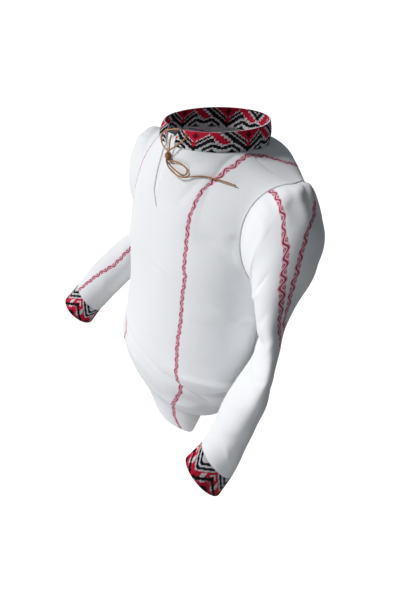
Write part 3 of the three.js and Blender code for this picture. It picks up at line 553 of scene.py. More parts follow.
def body_cloth(c, height, facing, edge):
    """Points of the cloth, with height as v but for the rows that follow the hem.

    Where a half has an edge at the slit, edge is 1 for the wearer's left and -1 for the right.
    """
    angle = 90 * c if facing > 0 else 180 * np.where(c < 0, -1, 1) - 90 * c
    hem = hem_start(angle)
    v = np.where(height < HEM_FREE, hem + (HEM_FREE - hem) * height / HEM_FREE, height)
    point = body_point(c, v, facing)
    across = (body_point(np.clip(c + NEAR, -1, 1), v, facing)
              - body_point(np.clip(c - NEAR, -1, 1), v, facing))
    upward = (body_point(c, np.clip(v + NEAR, 0, 1), facing)
              - body_point(c, np.clip(v - NEAR, 0, 1), facing))
    normal = unit(np.cross(across, upward)) * facing
    calm = ease(1 - np.abs(c), *CALM_SIDE) * ease(1 - v, *CALM_TOP)
    folds, creases = (FRONT_FOLDS, FRONT_CREASES) if facing > 0 else (BACK_FOLDS, BACK_CREASES)
    relief = calm * fold_height(folds + creases, BODY_SPAN, c, v)
    relief += calm * RIPPLE * np.sin(9 * c + 21 * v) * np.sin(31 * v - 5 * c + 2 * facing)
    relief += sewn_edge((1 - np.abs(c)) * BODY_SPAN[0], ALLOWANCE_RELIEF)
    relief += HEM_RELIEF * (1 - ease((v - hem) * BODY_SPAN[1], *HEM_TURN))
    point = point + normal * relief[..., None]

    turned = (angle - OVERHANG_MIDDLE + 540) % 360 - 180
    strength = OVERHANG_LEAST + (1 - OVERHANG_LEAST) * np.exp(-((turned / OVERHANG_SPREAD) ** 2))
    for lip, width, drop, out in OVERHANG:
        amount = strength * np.exp(-(((v - lip) / width) ** 2))
        point[..., 2] -= drop * amount
        point[..., :2] += normal[..., :2] * (out * amount)[..., None]

    if facing > 0:
        s = np.clip((v - SLIT_BOTTOM) / (1 - SLIT_BOTTOM), 0, 1)
        close = np.maximum(0, 1 - np.abs(c) / SLIT_REACH) ** SLIT_FADES
        sideways = (SLIT_LOW + (SLIT_HIGH - SLIT_LOW) * s) * np.minimum(1, SLIT_LEANS * s)
        point[..., 0] += close * (edge * SLIT_HALF * s**SLIT_OPENS + sideways)
    return point, v


# %% [markdown]
# ## Stripes on the cloth
# Each stripe is a line of places on the cloth, from the hem up. For the UV map, every corner of the
# mesh gets its distance along and across the nearest stripe. The choice is made per face, because a
# face between two stripes would otherwise run from one to the other, and show a false stripe.

# %% Stripe map
# places as (c, v) on the front and the back
FRONT_LEFT = [(0.425, 0), (0.425, 0.02), (0.363, 0.065), (0.375, 0.15), (0.413, 0.225), (0.438, 0.305),
              (0.363, 0.39), (0.325, 0.475), (0.325, 0.505), (0.312, 0.565), (0.325, 0.63), (0.337, 0.68),
              (0.325, 0.74), (0.363, 0.795), (0.45, 0.83), (0.5, 0.895), (0.475, 0.95), (0.465, 1.0)]
FRONT_RIGHT = [(-0.46, 0), (-0.42, 0.3), (-0.31, 0.345), (-0.265, 0.375), (-0.32, 0.39), (-0.48, 0.43),
               (-0.58, 0.5), (-0.62, 0.6), (-0.62, 0.78), (-0.61, 0.85), (-0.59, 0.9), (-0.54, 0.95),
               (-0.48, 1.0)]
BACK_LEFT = [(0.33, 0), (0.36, 0.2), (0.4, 0.4), (0.45, 0.62), (0.53, 0.8), (0.587, 0.86), (0.562, 0.895),
             (0.512, 0.93), (0.475, 0.96), (0.488, 1.0)]
BACK_RIGHT = [(-c, v) for c, v in BACK_LEFT]
SLEEVE_A = [(30, 0), (30, 0.015), (38, 0.13), (40, 0.185), (46, 0.22), (43, 0.285), (42, 0.325), (38, 0.36),
            (28, 0.405), (18, 0.465), (-10, 0.55), (-40, 0.65), (-60, 0.8), (-70, 1.0)]
SLEEVE_B = [(-24, 0), (-22, 0.1), (-18, 0.165), (-6, 0.21), (12, 0.245), (19, 0.3), (17, 0.36), (10, 0.405),
            (2, 0.46), (-34, 0.55), (-70, 0.65), (-90, 0.8), (-100, 1.0)]
RIGHT_SLEEVE_A = [(-20, 0), (-10, 0.2), (40, 0.45), (105, 0.65), (120, 0.745), (120, 0.81), (118, 0.85),
                  (106, 0.89), (94, 0.93), (84, 0.965), (78, 1.0)]
RIGHT_SLEEVE_B = [(-80, 0), (-66, 0.2), (-30, 0.45), (6, 0.65), (14, 0.78), (6, 0.9), (0, 1.0)]


def stripe_corners(points, places, heights, stripes, faces):
    """For each corner of each face, the distances along and across the nearest stripe, in metres."""
    steps = np.linalg.norm(np.diff(points, axis=1), axis=2)
    run = np.concatenate([np.zeros((len(points), 1)), np.cumsum(steps, axis=1)], axis=1)
    alongs, acrosses = [], []
    for line in stripes:
        line = np.array(sorted(line, key=lambda place: place[1]))
        wanted = np.interp(heights, line[:, 1], line[:, 0])
        at = np.array([np.interp(wanted[r], places[r], run[r]) for r in range(len(points))])
        middle = np.array([places_on(points[r], run[r], at[r]) for r in range(len(points))])
        along = run_along(middle)
        slope = np.gradient(at, along)           # a slanting stripe is narrower than it is across a row
        acrosses.append(((run - at[:, None]) / np.sqrt(1 + slope[:, None] ** 2)).ravel())
        alongs.append(np.repeat(along, points.shape[1]))
    alongs, acrosses = np.array(alongs), np.array(acrosses)
    nearest = np.abs(acrosses[:, faces].mean(axis=2)).argmin(axis=0)[:, None]
    return np.stack([alongs[nearest, faces], acrosses[nearest, faces]], axis=-1) * MM


def cloth_corners(points, faces, closed=False):
    """Distances round and down the cloth for the weave, in metres."""
    steps = np.linalg.norm(np.diff(points, axis=1), axis=2).mean(axis=0)
    u = np.concatenate([[0], np.cumsum(steps)])
    steps = np.linalg.norm(np.diff(points, axis=0), axis=2).mean(axis=1)
    v = np.concatenate([[0], np.cumsum(steps)])
    flat = np.stack(np.meshgrid(u, v), axis=-1).reshape(-1, 2)
    corners = flat[faces]
    if closed:
        wrapped = corners[..., 0].max(axis=1) - corners[..., 0].min(axis=1) > u[-1] / 2
        low = corners[..., 0] < u[-1] / 2
        corners[..., 0] += np.where(wrapped[:, None] & low, u[-1] + steps.mean(), 0)
    return corners * MM


# %% [markdown]
# ## Front and back
# Each panel is a fine grid of the form above. The front is split at the neck slit, so it is made as two
# halves whose middle columns are merged below the slit. The Solidify modifier then gives the cloth its
# thickness inward, so that the outside stays on the form.

# %% Panels
CLOTH_THICK = 0.6
PANEL_COLUMNS, PANEL_ROWS = 79, 196
WELD = 0.00001                   # metres: nearer points are one
HALF_SHIFT = 0.3                 # metres between the halves on the weave's map

panel_heights = np.sort(np.append(np.linspace(0, 1, PANEL_ROWS - 1), SLIT_BOTTOM))


def finish_cloth(piece):
    """Cotton, with the cloth's thickness to the inside."""
    shell = piece.modifiers.new("thickness", "SOLIDIFY")
    shell.thickness = CLOTH_THICK * MM
    shell.offset = -1
    piece.data.materials.append(cotton)


def weld(piece):
    mesh = bmesh.new()
    mesh.from_mesh(piece.data)
    bmesh.ops.remove_doubles(mesh, verts=mesh.verts, dist=WELD)
    mesh.to_mesh(piece.data)
    mesh.free()


def layer_area(piece):
    return sum(face.area for face in piece.data.polygons)


panel_points = {}
for name, facing, stripes in (("front", FRONT, {1: [FRONT_LEFT], -1: [FRONT_RIGHT]}),
                              ("back", BACK, {1: [BACK_LEFT], -1: [BACK_RIGHT]})):
    points, faces, cloth_map, stripe_map = [], [], [], []
    for half in (-1, 1):
        c_line = np.linspace(-1, 0, PANEL_COLUMNS) if half < 0 else np.linspace(0, 1, PANEL_COLUMNS)
        c, height = np.meshgrid(c_line, panel_heights)
        grid, v = body_cloth(c, height, facing, half)
        panel_points[name, half] = grid
        quads = grid_faces(*c.shape)
        if facing < 0:
            quads = quads[:, ::-1]
        cloth_map.append(cloth_corners(grid, quads) + [HALF_SHIFT * (half < 0), 0])
        stripe_map.append(stripe_corners(grid, c, panel_heights, stripes[half], quads))
        faces.append(quads + sum(len(p) for p in points))
        points.append(grid.reshape(-1, 3))
    panel = make_mesh("cloth_" + name, np.concatenate(points), np.concatenate(faces),
                      {"cloth": np.concatenate(cloth_map), "stripe": np.concatenate(stripe_map)})
    weld(panel)
    finish_cloth(panel)
    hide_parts(name)
    print(name, "faces:", len(panel.data.polygons), "area in square metres:", round(layer_area(panel), 4))

# %% [markdown]
# ## Facing behind the slit
# The neck slit would gape, so a strip of the same cloth lies behind its two edges and stands up between
# the ends of the collar. It is laid from one edge of the slit to the other, a little further in.

# %% Slit facing
FACING_OVERLAP, FACING_BEHIND, FACING_RISE = 9, 1.2, 17
FACING_BELOW = 0.03              # how far it goes down past the slit, as a share of the panel
FACING_SPREAD, FACING_BACK = 0.2, 0.12   # how far it leans out and back for each mm that it rises
FACING_RIPPLE = 0.3
FACING_ROWS, FACING_COLUMNS = 6, 25      # rows of the part that rises above the panel
NO_STRIPE = 1.0                  # metres from the nearest stripe
upper = panel_heights >= SLIT_BOTTOM - FACING_BELOW
left_edge = panel_points["front", 1][upper, 0]
right_edge = panel_points["front", -1][upper, -1]
rise = np.linspace(0, 1, FACING_ROWS + 1)[1:, None] * FACING_RISE
left_edge = np.concatenate([left_edge, left_edge[-1] + rise * [FACING_SPREAD, FACING_BACK, 1]])
right_edge = np.concatenate([right_edge, right_edge[-1] + rise * [-FACING_SPREAD, FACING_BACK, 1]])
share = np.linspace(0, 1, FACING_COLUMNS)[None, :, None]
start = right_edge - [FACING_OVERLAP, 0, 0]
end = left_edge + [FACING_OVERLAP, 0, 0]
grid = start[:, None] * (1 - share) + end[:, None] * share
ripple = np.sin(5 * share[..., 0] + 0.12 * np.arange(len(grid))[:, None])
grid[..., 1] += FACING_BEHIND + FACING_RIPPLE * ripple
quads = grid_faces(*grid.shape[:2])
facing_piece = make_mesh("cloth_slit_facing", grid, quads, {
    "cloth": cloth_corners(grid, quads), "stripe": np.full((len(quads), 4, 2), NO_STRIPE)})
finish_cloth(facing_piece)
print("facing area:", round(layer_area(facing_piece), 4))

# %% [markdown]
# ## Sleeves
# A sleeve starts on the armhole's own edge and becomes a tube whose sections turn and tilt down the
# arm. Its head is wider than the armhole and is gathered into it over the shoulder, so short ridges
# fan out from the seam there, no two of them alike. The left arm hangs with the hand in front of the
# hip, and the right one is bent at the elbow.

# %% Sleeve form
# x, y, z, half widths across and along, turn of the section, lean about Y, nod about X
SLEEVE_SECTIONS = {"left": [
    (214, -9, -152, 92, 65, 0, 78, 0), (230, -12, -172, 80, 62, 4, 66, 0),
    (239, -20, -200, 58, 58, 12, 52, 0), (243, -29, -234, 36, 58, 28, 32, 0),
    (246, -37, -272, 24, 60, 44, 12, 0), (251, -38, -312, 18, 61, 50, 2, 0),
    (253, -43, -356, 19, 61, 50, 0, 0), (252, -56, -404, 31, 55, 50, -6, -6),
    (249, -71, -450, 35, 50, 50, -12, -14), (246, -82, -501, 38, 42, 50, -20, -24),
    (241.5, -95, -554, 48, 33, 50, -30, -35),
], "right": [
    (214, 0, -152, 92, 58, 0, 78, 0), (230, 14, -174, 80, 52, 0, 64, 0),
    (238, 30, -206, 60, 50, 0, 48, 0), (242, 42, -246, 48, 48, 0, 28, 0),
    (248, 44, -290, 44, 46, 0, 10, -12), (257, 26, -330, 44, 44, 0, 6, -36),
    (270, -14, -371, 45, 43, 0, 12, -44), (283, -55, -418, 45, 42, 0, 22, -42),
    (298, -99.5, -479, 42, 40, 0, 28, -34),
]}
CUFF_MOUTHS = {"left": (236.5, -118, -590, 57, 32, 50, -35, -35),
               "right": (310, -121.5, -519, 43, 42, 0, 24, -28)}
HEAD, HEAD_BULGE, HEAD_AHEAD = 0.16, 60, 0.02
SLEEVE_CALM = 0.03               # share of its length over which folds grow from either end
SLEEVE_FOLDS = [
    (110, 0.36, 190, 0.46, 13, -4), (70, 0.52, 170, 0.58, 13, -4), (60, 0.68, 150, 0.62, 12, 3),
    (250, 0.5, 330, 0.62, 14, -3),
]
# from (degrees round, share down) to (degrees round, share down), width and height
GATHERS = [
    (-62, 0.02, -66, 0.15, 6, 2.6), (-49, 0.02, -47, 0.11, 5, 2.2), (-37, 0.02, -38, 0.19, 7, 3.0),
    (-24, 0.02, -21, 0.12, 5, 2.4), (-12, 0.02, -14, 0.2, 7, 3.2), (-1, 0.02, 2, 0.13, 5, 2.6),
    (10, 0.02, 10, 0.22, 7, 3.3), (21, 0.02, 25, 0.14, 5, 2.5), (33, 0.02, 36, 0.2, 6, 3.0),
    (46, 0.02, 52, 0.12, 5, 2.3), (59, 0.02, 66, 0.16, 6, 2.4),
]
SLEEVE_CREASES = [
    (74, 0.3, 104, 0.33, 6, -2.2), (84, 0.36, 118, 0.35, 7, 2.0), (60, 0.43, 96, 0.47, 7, -1.8),
    (20, 0.5, 70, 0.54, 8, 1.6), (-20, 0.44, 30, 0.48, 9, -1.5), (40, 0.63, 96, 0.66, 7, -1.6),
    (80, 0.76, 140, 0.8, 9, 1.6), (20, 0.84, 80, 0.88, 8, -1.3), (200, 0.3, 262, 0.36, 10, 2.0),
    (210, 0.44, 270, 0.42, 8, -2.0), (180, 0.66, 240, 0.7, 9, 1.8), (230, 0.78, 285, 0.82, 8, -1.6),
    (-60, 0.3, -20, 0.35, 10, -1.6), (-66, 0.62, -10, 0.68, 9, 1.6), (120, 0.2, 165, 0.24, 9, -2.4),
    (96, 0.14, 130, 0.19, 8, 2.0), (110, 0.9, 170, 0.94, 7, 1.2), (30, 0.94, 62, 0.9, 6, 1.3),
]


def section_point(row, side, phi):
    x0, y0, z0, across, along, turn, lean, nod = np.moveaxis(row, -1, 0)
    turn, lean, nod = np.radians(turn), np.radians(-lean), np.radians(nod)
    p, q = across * np.cos(np.radians(phi) + turn), along * np.sin(np.radians(phi) + turn)
    x = p * np.cos(turn) + q * np.sin(turn)
    y = p * np.sin(turn) - q * np.cos(turn)
    y, z = y * np.cos(nod), y * np.sin(nod)      # first about X, then about Y
    x, z = x * np.cos(lean) + z * np.sin(lean), -x * np.sin(lean) + z * np.cos(lean)
    return np.stack([side * (x0 + x), y0 + y, z0 + z], axis=-1)


def armhole_edge(side):
    """The armhole's edge from the shoulder down the front and up the back, with its angle."""
    column = -1 if side > 0 else 0
    upper = panel_heights >= BODY_SHARE
    down = panel_points["front", side][upper, column][::-1]
    up = panel_points["back", side][upper, column]
    loop = np.concatenate([down, up[1:]])
    run = run_along(loop)
    under = run[len(down) - 1]
    return loop, np.where(run <= under, 180 * run / under, 180 + 180 * (run - under) / (run[-1] - under))


def sleeve_form(sections, side, edge, phi, t):
    point = section_point(catmull_rom(sections, (t - HEAD) / (1 - HEAD)), side, phi)
    first = section_point(catmull_rom(sections, np.zeros_like(t)), side, phi)
    onward = section_point(catmull_rom(sections, np.full_like(t, HEAD_AHEAD)), side, phi) - first
    loop, angles = edge
    start = places_on(loop, angles, phi % 360)
    s = np.clip(t / HEAD, 0, 1)[..., None]
    soft = s * s * (3 - 2 * s)
    head = (first * soft + onward * s * s * (s - 1) * HEAD / (HEAD_AHEAD * (1 - HEAD)) + start * (1 - soft)
            + np.array([side * HEAD_BULGE, 0, 0]) * s * (s - 1) ** 2)
    return np.where(t[..., None] < HEAD, head, point)


def sleeve_cloth(sections, side, edge, phi, t):
    form = lambda a, b: sleeve_form(sections, side, edge, a, b)
    around = form(phi + NEAR * 360, t) - form(phi - NEAR * 360, t)
    down = form(phi, t + NEAR) - form(phi, t - NEAR)
    normal = unit(np.cross(around, down)) * side
    length = SLEEVE_SPAN[1]
    calm = ease(t, 0, SLEEVE_CALM) * ease(1 - t, 0, SLEEVE_CALM)
    folds = SLEEVE_FOLDS + GATHERS + SLEEVE_CREASES
    relief = calm * (fold_height(folds, SLEEVE_SPAN, phi, t) + fold_height(folds, SLEEVE_SPAN, phi + 360, t))
    relief += calm * RIPPLE * np.sin(np.radians(3 * phi) + 26 * t) * np.sin(37 * t + side)
    relief += sewn_edge((1 - t) * length, 0.0) + sewn_edge(t * length, 0.0)
    return form(phi, t) + normal * relief[..., None]


# %% Sleeves
SLEEVE_COLUMNS, SLEEVE_ROWS = 184, 176
SLEEVE_STRIPES = {"left": [SLEEVE_A, SLEEVE_B], "right": [RIGHT_SLEEVE_A, RIGHT_SLEEVE_B]}
PHI_START = -150                 # where the grid of a sleeve closes, away from its stripes

sleeve_points = {}
for name, side in (("left", 1), ("right", -1)):
    phi_line = PHI_START + np.linspace(0, 360, SLEEVE_COLUMNS, endpoint=False)
    t_line = np.linspace(0, 1, SLEEVE_ROWS)
    phi, t = np.meshgrid(phi_line, t_line)
    sections = np.array(SLEEVE_SECTIONS[name], dtype=float)
    grid = sleeve_cloth(sections, side, armhole_edge(side), phi, t)
    quads = grid_faces(*phi.shape, closed=True)
    if side < 0:
        quads = quads[:, ::-1]
    sleeve = make_mesh("cloth_sleeve_" + name, grid, quads, {
        "cloth": cloth_corners(grid, quads, closed=True),
        "stripe": stripe_corners(grid, phi, t_line, SLEEVE_STRIPES[name], quads),
    })
    finish_cloth(sleeve)
    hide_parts("sleeve_" + name)
    sleeve_points[name] = grid
    print("sleeve", name, "faces:", len(sleeve.data.polygons), "area:", round(layer_area(sleeve), 4))

# %% [markdown]
# ## Embroidered bands
# Collar and cuffs are doubled cloth with cross-stitch all over. Their mesh is laid out like the chart
# itself: one square of mesh for each stitch, cut in four so that its middle can stand up like a small
# cushion. An image would be quicker, but it would have no relief and would blur in a close view. The
# chart is a rule from a stitch's place to its thread: triangles, zigzags and steps are all distances.

# %% Threads
CELL = 2.0                       # size of a stitch
THREADS = np.array([
    (0.006, 0.005, 0.008, 1.0),  # black
    (0.72, 0.012, 0.05, 1.0),    # crimson
    (0.14, 0.004, 0.012, 1.0),   # dark red
    (0.62, 0.14, 0.19, 1.0),     # rose
    (0.80, 0.79, 0.80, 1.0),     # white
])
BLACK, CRIMSON, DARK_RED, ROSE, WHITE = range(5)


def paint(chart, measure, bands):
    """Gives each band (low, high, thread) of a measured distance its thread."""
    for low, high, thread in bands:
        chart[(measure >= low) & (measure < high)] = thread


def collar_chart(place, row):
    """place in stitches from the collar's front middle, row up from its lower edge."""
    period, first, slope = 47, 73, 0.66
    place = np.abs(place)
    from_axis = np.abs((place - first + period / 2) % period - period / 2)
    chart = np.full(place.shape, WHITE)
    # an upside-down triangle inside a broad V
    inside = row - slope * from_axis
    paint(chart, inside, [(0, 3.8, BLACK), (4.7, 7.2, DARK_RED), (8.1, 99, CRIMSON)])
    chart[(inside >= 4.7) & (inside < 7.2) & (from_axis % 5 < 2.4) & (from_axis > 3)] = BLACK
    chart[from_axis + np.abs(row - 6) < 2.6] = CRIMSON
    chart[from_axis + np.abs(row - 13.5) < 2.6] = DARK_RED
    # a stepped band that climbs to the front, between two such triangles
    middle = (place - first) % period - period / 2
    lean = np.abs(middle + 1.4 * (2 * np.floor(row / 2) - 9))
    between = from_axis > 11
    chart[between & (lean < 6.2)] = WHITE
    chart[between & (lean < 4.8)] = CRIMSON
    chart[between & (lean > 7.4) & (lean < 10.6) & (row < 12)] = BLACK
    # a zigzag along the lower edge, with a small triangle below each peak
    height = np.interp(from_axis, [7, 15, 23.5], [0, 4.8, 2.2])
    crest = row - height
    low_part = (crest < 4) & (from_axis > 7)
    chart[low_part] = WHITE
    chart[low_part & (crest >= 0) & (crest < 2.8)] = BLACK
    chart[(crest < -1.4) & (np.abs(from_axis - 15) + 1.4 * row < 4.4)] = BLACK
    return chart


def cuff_chart(place, row):
    """place in stitches round the cuff, row from its seam to its mouth."""
    period = 36
    from_axis = np.abs(place % period - period / 2)
    chart = np.full(place.shape, WHITE)
    step = row - 0.8 * from_axis
    paint(chart, step, [(-9.5, -6.5, BLACK), (-4.5, -1.5, BLACK), (0, 6, CRIMSON), (6, 9.5, BLACK),
                        (11.5, 15.5, CRIMSON), (15.5, 99, BLACK)])
    chart[(step >= 9.5) & (step < 11.5) & (from_axis % 8 < 4)] = ROSE
    chart[(step >= 1.5) & (step < 6) & (np.abs(from_axis - 9) < 1.6)] = WHITE
    chart[(step >= 3) & (step < 4.6) & (from_axis < 4)] = WHITE
    chart[(row > 17) & (step > -1.5) & (step < 6) & (from_axis % 6 < 4)] = BLACK
    return chart


# %% Stitched band
STITCH_RISE = 0.25
BAND_THICK = 2.2


def stitched_band(name, base, top, out, chart, closed, bow=0.0):
    """A band between two lines of points, stitched on both faces: out points away from the wearer."""
    rows, columns = chart.shape
    wide = 2 * columns + (0 if closed else 1)
    u = np.linspace(0, 1, wide, endpoint=not closed)
    w = np.linspace(0, 1, 2 * rows + 1)
    source = np.linspace(0, 1, len(base), endpoint=not closed)
    if closed:
        source = np.append(source, 1.0)
        base, top, out = (np.concatenate([line, line[:1]]) for line in (base, top, out))
    base, top, out = (places_on(line, source, u) for line in (base, top, out))
    out = unit(out)
    share = w[:, None, None]
    middle = base * (1 - share) + top * share + out * bow * np.sin(np.pi * share)
    cushion = np.abs(np.sin(np.pi * np.arange(wide) / 2))[None] * np.abs(
        np.sin(np.pi * np.arange(len(w)) / 2))[:, None]
    points, faces, cloth_map, cell_map, colors = [], [], [], [], []
    for index, depth in enumerate((0.0, BAND_THICK)):
        bump = STITCH_RISE * cushion * (1 if index == 0 else -1)
        grid = middle + out[None] * (bump - depth)[..., None]
        quads = grid_faces(len(w), wide, closed)
        row, column = np.divmod(np.arange(len(quads)), wide if closed else wide - 1)
        at = np.stack([column[:, None] + [0, 1, 1, 0], row[:, None] + [0, 0, 1, 1]], axis=-1)
        thread = THREADS[chart[row // 2, column // 2]]
        if index:
            quads, at = quads[:, ::-1], at[:, ::-1]
        colors.append(np.repeat(thread, 4, axis=0))
        cell_map.append(at / 2)
        cloth_map.append(at / 2 * CELL * MM)
        faces.append(quads + sum(len(p) for p in points))
        points.append(grid.reshape(-1, 3))
    shift = len(points[0])
    ends = [np.arange(wide)[::-1], np.arange(wide) + (len(w) - 1) * wide]
    if closed:
        ends = [np.append(line, line[0]) for line in ends]
    else:
        ends += [np.arange(len(w)) * wide, (np.arange(len(w)) * wide + wide - 1)[::-1]]
    for line in ends:                            # the rim between the outer and the inner face
        rim = np.stack([line[:-1], line[1:], line[1:] + shift, line[:-1] + shift], axis=1)
        faces.append(rim)
        colors.append(np.tile(THREADS[WHITE], (4 * len(rim), 1)))
        cell_map.append(np.zeros((len(rim), 4, 2)))
        cloth_map.append(np.zeros((len(rim), 4, 2)))
    band = make_mesh(name, np.concatenate(points), np.concatenate(faces),
                     {"cloth": np.concatenate(cloth_map), "cell": np.concatenate(cell_map)})
    layer = band.data.color_attributes.new("thread", "FLOAT_COLOR", "CORNER")
    layer.data.foreach_set("color", np.concatenate(colors).astype(np.float32).ravel())
    band.data.materials.append(cross_stitch)
    print(name, "stitches:", columns * rows * 2, "faces:", len(band.data.polygons))
    return band


# %% Collar
COLLAR_FRONT, COLLAR_BACK, COLLAR_TAPER = 29, 39, 5
COLLAR_SPREAD, COLLAR_SPREAD_OVER = 6, 30
COLLAR_BOW = 2.5                 # how far the middle of the band stands out
COLLAR_ROWS = 17
CHART_START = 6                  # stitches of the chart that are left out at each end
QUARTER_POINTS, NECK_POINTS = 120, 600

neck_columns = np.linspace(0, NECK_SHARE, QUARTER_POINTS)
ones = np.ones_like(neck_columns)
neck_line = np.concatenate([
    body_cloth(neck_columns, ones, FRONT, 1)[0],
    body_cloth(neck_columns[::-1], ones, BACK, 1)[0][1:],
    body_cloth(-neck_columns, ones, BACK, -1)[0][1:],
    body_cloth(-neck_columns[::-1], ones, FRONT, -1)[0][1:],
])
run = run_along(neck_line)
neck_line = places_on(neck_line, run, np.linspace(0, run[-1], NECK_POINTS))
away = unit((neck_line - [0, NECK_Y, 0]) * [1, 1, 0])
forward = np.clip((NECK_Y + NECK_DEEP - neck_line[:, 1]) / (2 * NECK_DEEP), 0, 1)
near_slit = np.exp(-((neck_line[:, 0] / COLLAR_SPREAD_OVER) ** 2)) * (neck_line[:, 1] < NECK_Y)
collar_top = neck_line - away * COLLAR_TAPER
collar_top[:, 0] += np.sign(neck_line[:, 0]) * COLLAR_SPREAD * near_slit
collar_top[:, 2] += COLLAR_BACK + (COLLAR_FRONT - COLLAR_BACK) * forward
stitches = int(round(run[-1] / CELL))
column = np.arange(stitches) + 0.5
place = np.where(column < stitches / 2, column, column - stitches)  # from the front middle, by either side
place, row = np.meshgrid(place, np.arange(COLLAR_ROWS) + 0.5)
chart = collar_chart(place + CHART_START * np.sign(place), row)
collar = stitched_band("band_collar", neck_line, collar_top, away, chart, closed=False, bow=COLLAR_BOW)
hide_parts("collar")
print("collar length in mm:", round(run[-1], 1))

# %% Cuffs
CUFF_ROWS, CUFF_POINTS = 20, 360
CUFF_REPEAT = 12                 # the stitches round a cuff come in dozens
for name, side in (("left", 1), ("right", -1)):
    angles = np.linspace(0, 360, CUFF_POINTS, endpoint=False)
    base, mouth = (section_point(np.tile(np.array(row, dtype=float), (CUFF_POINTS, 1)), side, angles)
                   for row in (SLEEVE_SECTIONS[name][-1], CUFF_MOUTHS[name]))
    around = np.linalg.norm(np.diff(mouth, axis=0, append=mouth[:1]), axis=1).sum()
    stitches = CUFF_REPEAT * int(round(around / CELL / CUFF_REPEAT))
    column, row = np.meshgrid(np.arange(stitches) + 0.5, np.arange(CUFF_ROWS) + 0.5)
    chart = cuff_chart(column, row)
    tangent = np.roll(base, -1, axis=0) - np.roll(base, 1, axis=0)
    out = unit(np.cross(tangent, mouth - base))
    if ((base - base.mean(axis=0)) * out).sum() < 0:     # the ring runs the other way round
        base, mouth, out = base[::-1], mouth[::-1], -out[::-1]
    cuff = stitched_band("band_cuff_" + name, base, mouth, out, chart, closed=True)
    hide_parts("cuff_" + name)
    print("cuff", name, "round in mm:", round(around, 1))

# %% [markdown]
# ## Sewing
# Rows of stitches run beside the armholes, the collar, the slit, the hem and the cuffs. Each stitch is a
# small pointed body of eight faces that lies half in the cloth, and all of them are one mesh. A texture
# could show them too, but these catch the light and cast a shadow in a close view.

# %% Topstitching
STITCH_LONG, STITCH_WIDE, STITCH_STEP = 2.3, 0.55, 3.3
STITCH_HIGH, STITCH_DEEP = 0.35, 0.2     # above the cloth's face, and in the cloth
BODY_MIDDLE = (0, 0, -330)
SLIT_CLEAR = 0.01                # share of the panel between the slit's end and its first stitch


def outward(grid, middle):
    """Normals of a grid of points, all facing away from a middle point or a middle line."""
    normal = unit(np.cross(np.gradient(grid, axis=0), np.gradient(grid, axis=1)))
    return normal * np.sign(((grid - middle) * normal).sum(axis=-1, keepdims=True))


def stitch_row(line, normal):
    """The six corners of each stitch along a line on the cloth."""
    run = run_along(line)
    start = np.arange(STITCH_STEP / 2, run[-1] - STITCH_LONG, STITCH_STEP)
    first, last = places_on(line, run, start), places_on(line, run, start + STITCH_LONG)
    up = unit(places_on(normal, run, start + STITCH_LONG / 2))
    side = unit(np.cross(last - first, up)) * STITCH_WIDE / 2
    middle = (first + last) / 2
    corners = [first, last, middle + side, middle + up * STITCH_HIGH, middle - side,
               middle - up * STITCH_DEEP]
    return np.stack(corners, axis=1)


rows = []
for (name, half), grid in panel_points.items():
    normal = outward(grid, np.array(BODY_MIDDLE))
    side_column, middle_column = (-2, 1) if half > 0 else (1, -2)
    columns = np.linspace(-1, 0, PANEL_COLUMNS) if half < 0 else np.linspace(0, 1, PANEL_COLUMNS)
    at_armhole = panel_heights > BODY_SHARE
    at_neck = np.abs(columns) < NECK_SHARE
    rows.append(stitch_row(grid[at_armhole, side_column], normal[at_armhole, side_column]))
    rows.append(stitch_row(grid[-2, at_neck], normal[-2, at_neck]))
    rows.append(stitch_row(grid[3], normal[3]))
    if name == "front":
        at_slit = panel_heights > SLIT_BOTTOM + SLIT_CLEAR
        rows.append(stitch_row(grid[at_slit, middle_column], normal[at_slit, middle_column]))
for grid in sleeve_points.values():
    grid = np.concatenate([grid, grid[:, :1]], axis=1)
    normal = outward(grid, grid.mean(axis=1, keepdims=True))
    rows.append(stitch_row(grid[-2], normal[-2]))
stitches = np.concatenate(rows)
shape = np.array([(0, 2, 3), (0, 3, 4), (0, 4, 5), (0, 5, 2), (1, 3, 2), (1, 4, 3), (1, 5, 4), (1, 2, 5)])
faces = (shape[None] + 6 * np.arange(len(stitches))[:, None, None]).reshape(-1, 3)
corner_map = stitches.reshape(-1, 3)[faces][..., [0, 2]] * MM
stitching = make_mesh("topstitching", stitches, faces, {
    "cloth": corner_map, "stripe": np.full_like(corner_map, NO_STRIPE)})
stitching.data.materials.append(cotton)
print("stitches:", len(stitches), "faces:", len(faces))
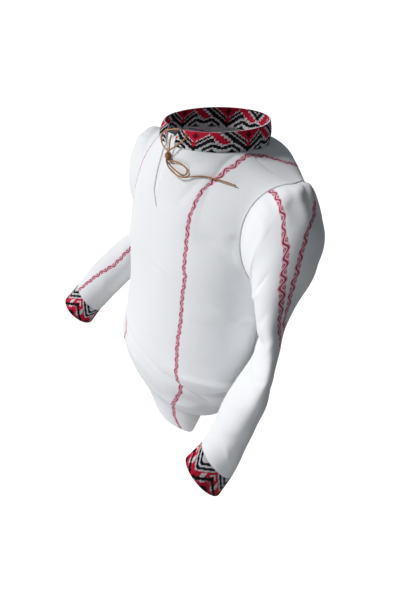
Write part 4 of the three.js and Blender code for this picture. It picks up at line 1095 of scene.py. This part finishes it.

# %% [markdown]

# %% [markdown]
# ## Light and floor
# The light is that of a bright, even studio. A wide sun stands high before the wearer, so that the
# chest is lit and the back of the sleeve falls into a cool shade. A weaker and still wider one shines
# up from below, as light comes back from a pale floor. The world fills the shade with a dim, slightly
# blue light. The floor itself is far below and only to be seen: it neither lights nor shades the shirt.

# %% Studio
FLOOR_Z = -1.6
FLOOR_SIZE = 60.0
FLOOR_COLOR, FLOOR_GLOW = (0.9, 0.9, 0.9, 1), 0.6
WHITE_LIGHT = (1, 1, 1, 1)
FILL_COLOR, FILL_STRENGTH = (0.86, 0.93, 1.0, 1), 0.14
LAMPS = {                        # strength, angle, azimuth and elevation in degrees
    "key": (2.8, 14, -34, 36),
    "low_fill": (1.15, 40, 15, -42),
}

floor = make_mesh("floor", np.array([(-1, -1, 0), (1, -1, 0), (1, 1, 0), (-1, 1, 0)]) * FLOOR_SIZE / 2 / MM
                  + [0, 0, FLOOR_Z / MM], [(0, 1, 2, 3)])
pale, tree, shader = new_material("pale_floor", Base_Color=FLOOR_COLOR, Roughness=0.9,
                                  Emission_Color=WHITE_LIGHT, Emission_Strength=FLOOR_GLOW)
floor.data.materials.append(pale)
floor.visible_diffuse = False
floor.visible_shadow = False

for name, (strength, angle, azimuth, elevation) in LAMPS.items():
    lamp_data = bpy.data.lights.new(name, "SUN")
    lamp_data.energy = strength
    lamp_data.angle = math.radians(angle)
    lamp = bpy.data.objects.new(name, lamp_data)
    lamp.rotation_euler = (math.radians(90 - elevation), 0, math.radians(azimuth))
    bpy.context.scene.collection.objects.link(lamp)

world = bpy.data.worlds.new("studio")
world.use_nodes = True
bpy.context.scene.world = world
tree = world.node_tree
background = tree.nodes["Background"]
seen = add_node(tree, "ShaderNodeLightPath").outputs["Is Camera Ray"]
tree.links.new(mix_colors(tree, seen, FILL_COLOR, WHITE_LIGHT), background.inputs["Color"])
fill = math_node(tree, "MULTIPLY_ADD", seen, 1 - FILL_STRENGTH, FILL_STRENGTH)
tree.links.new(fill, background.inputs["Strength"])
bpy.context.scene.view_settings.view_transform = "Standard"
print("lamps:", LAMPS, "world fill:", FILL_STRENGTH)
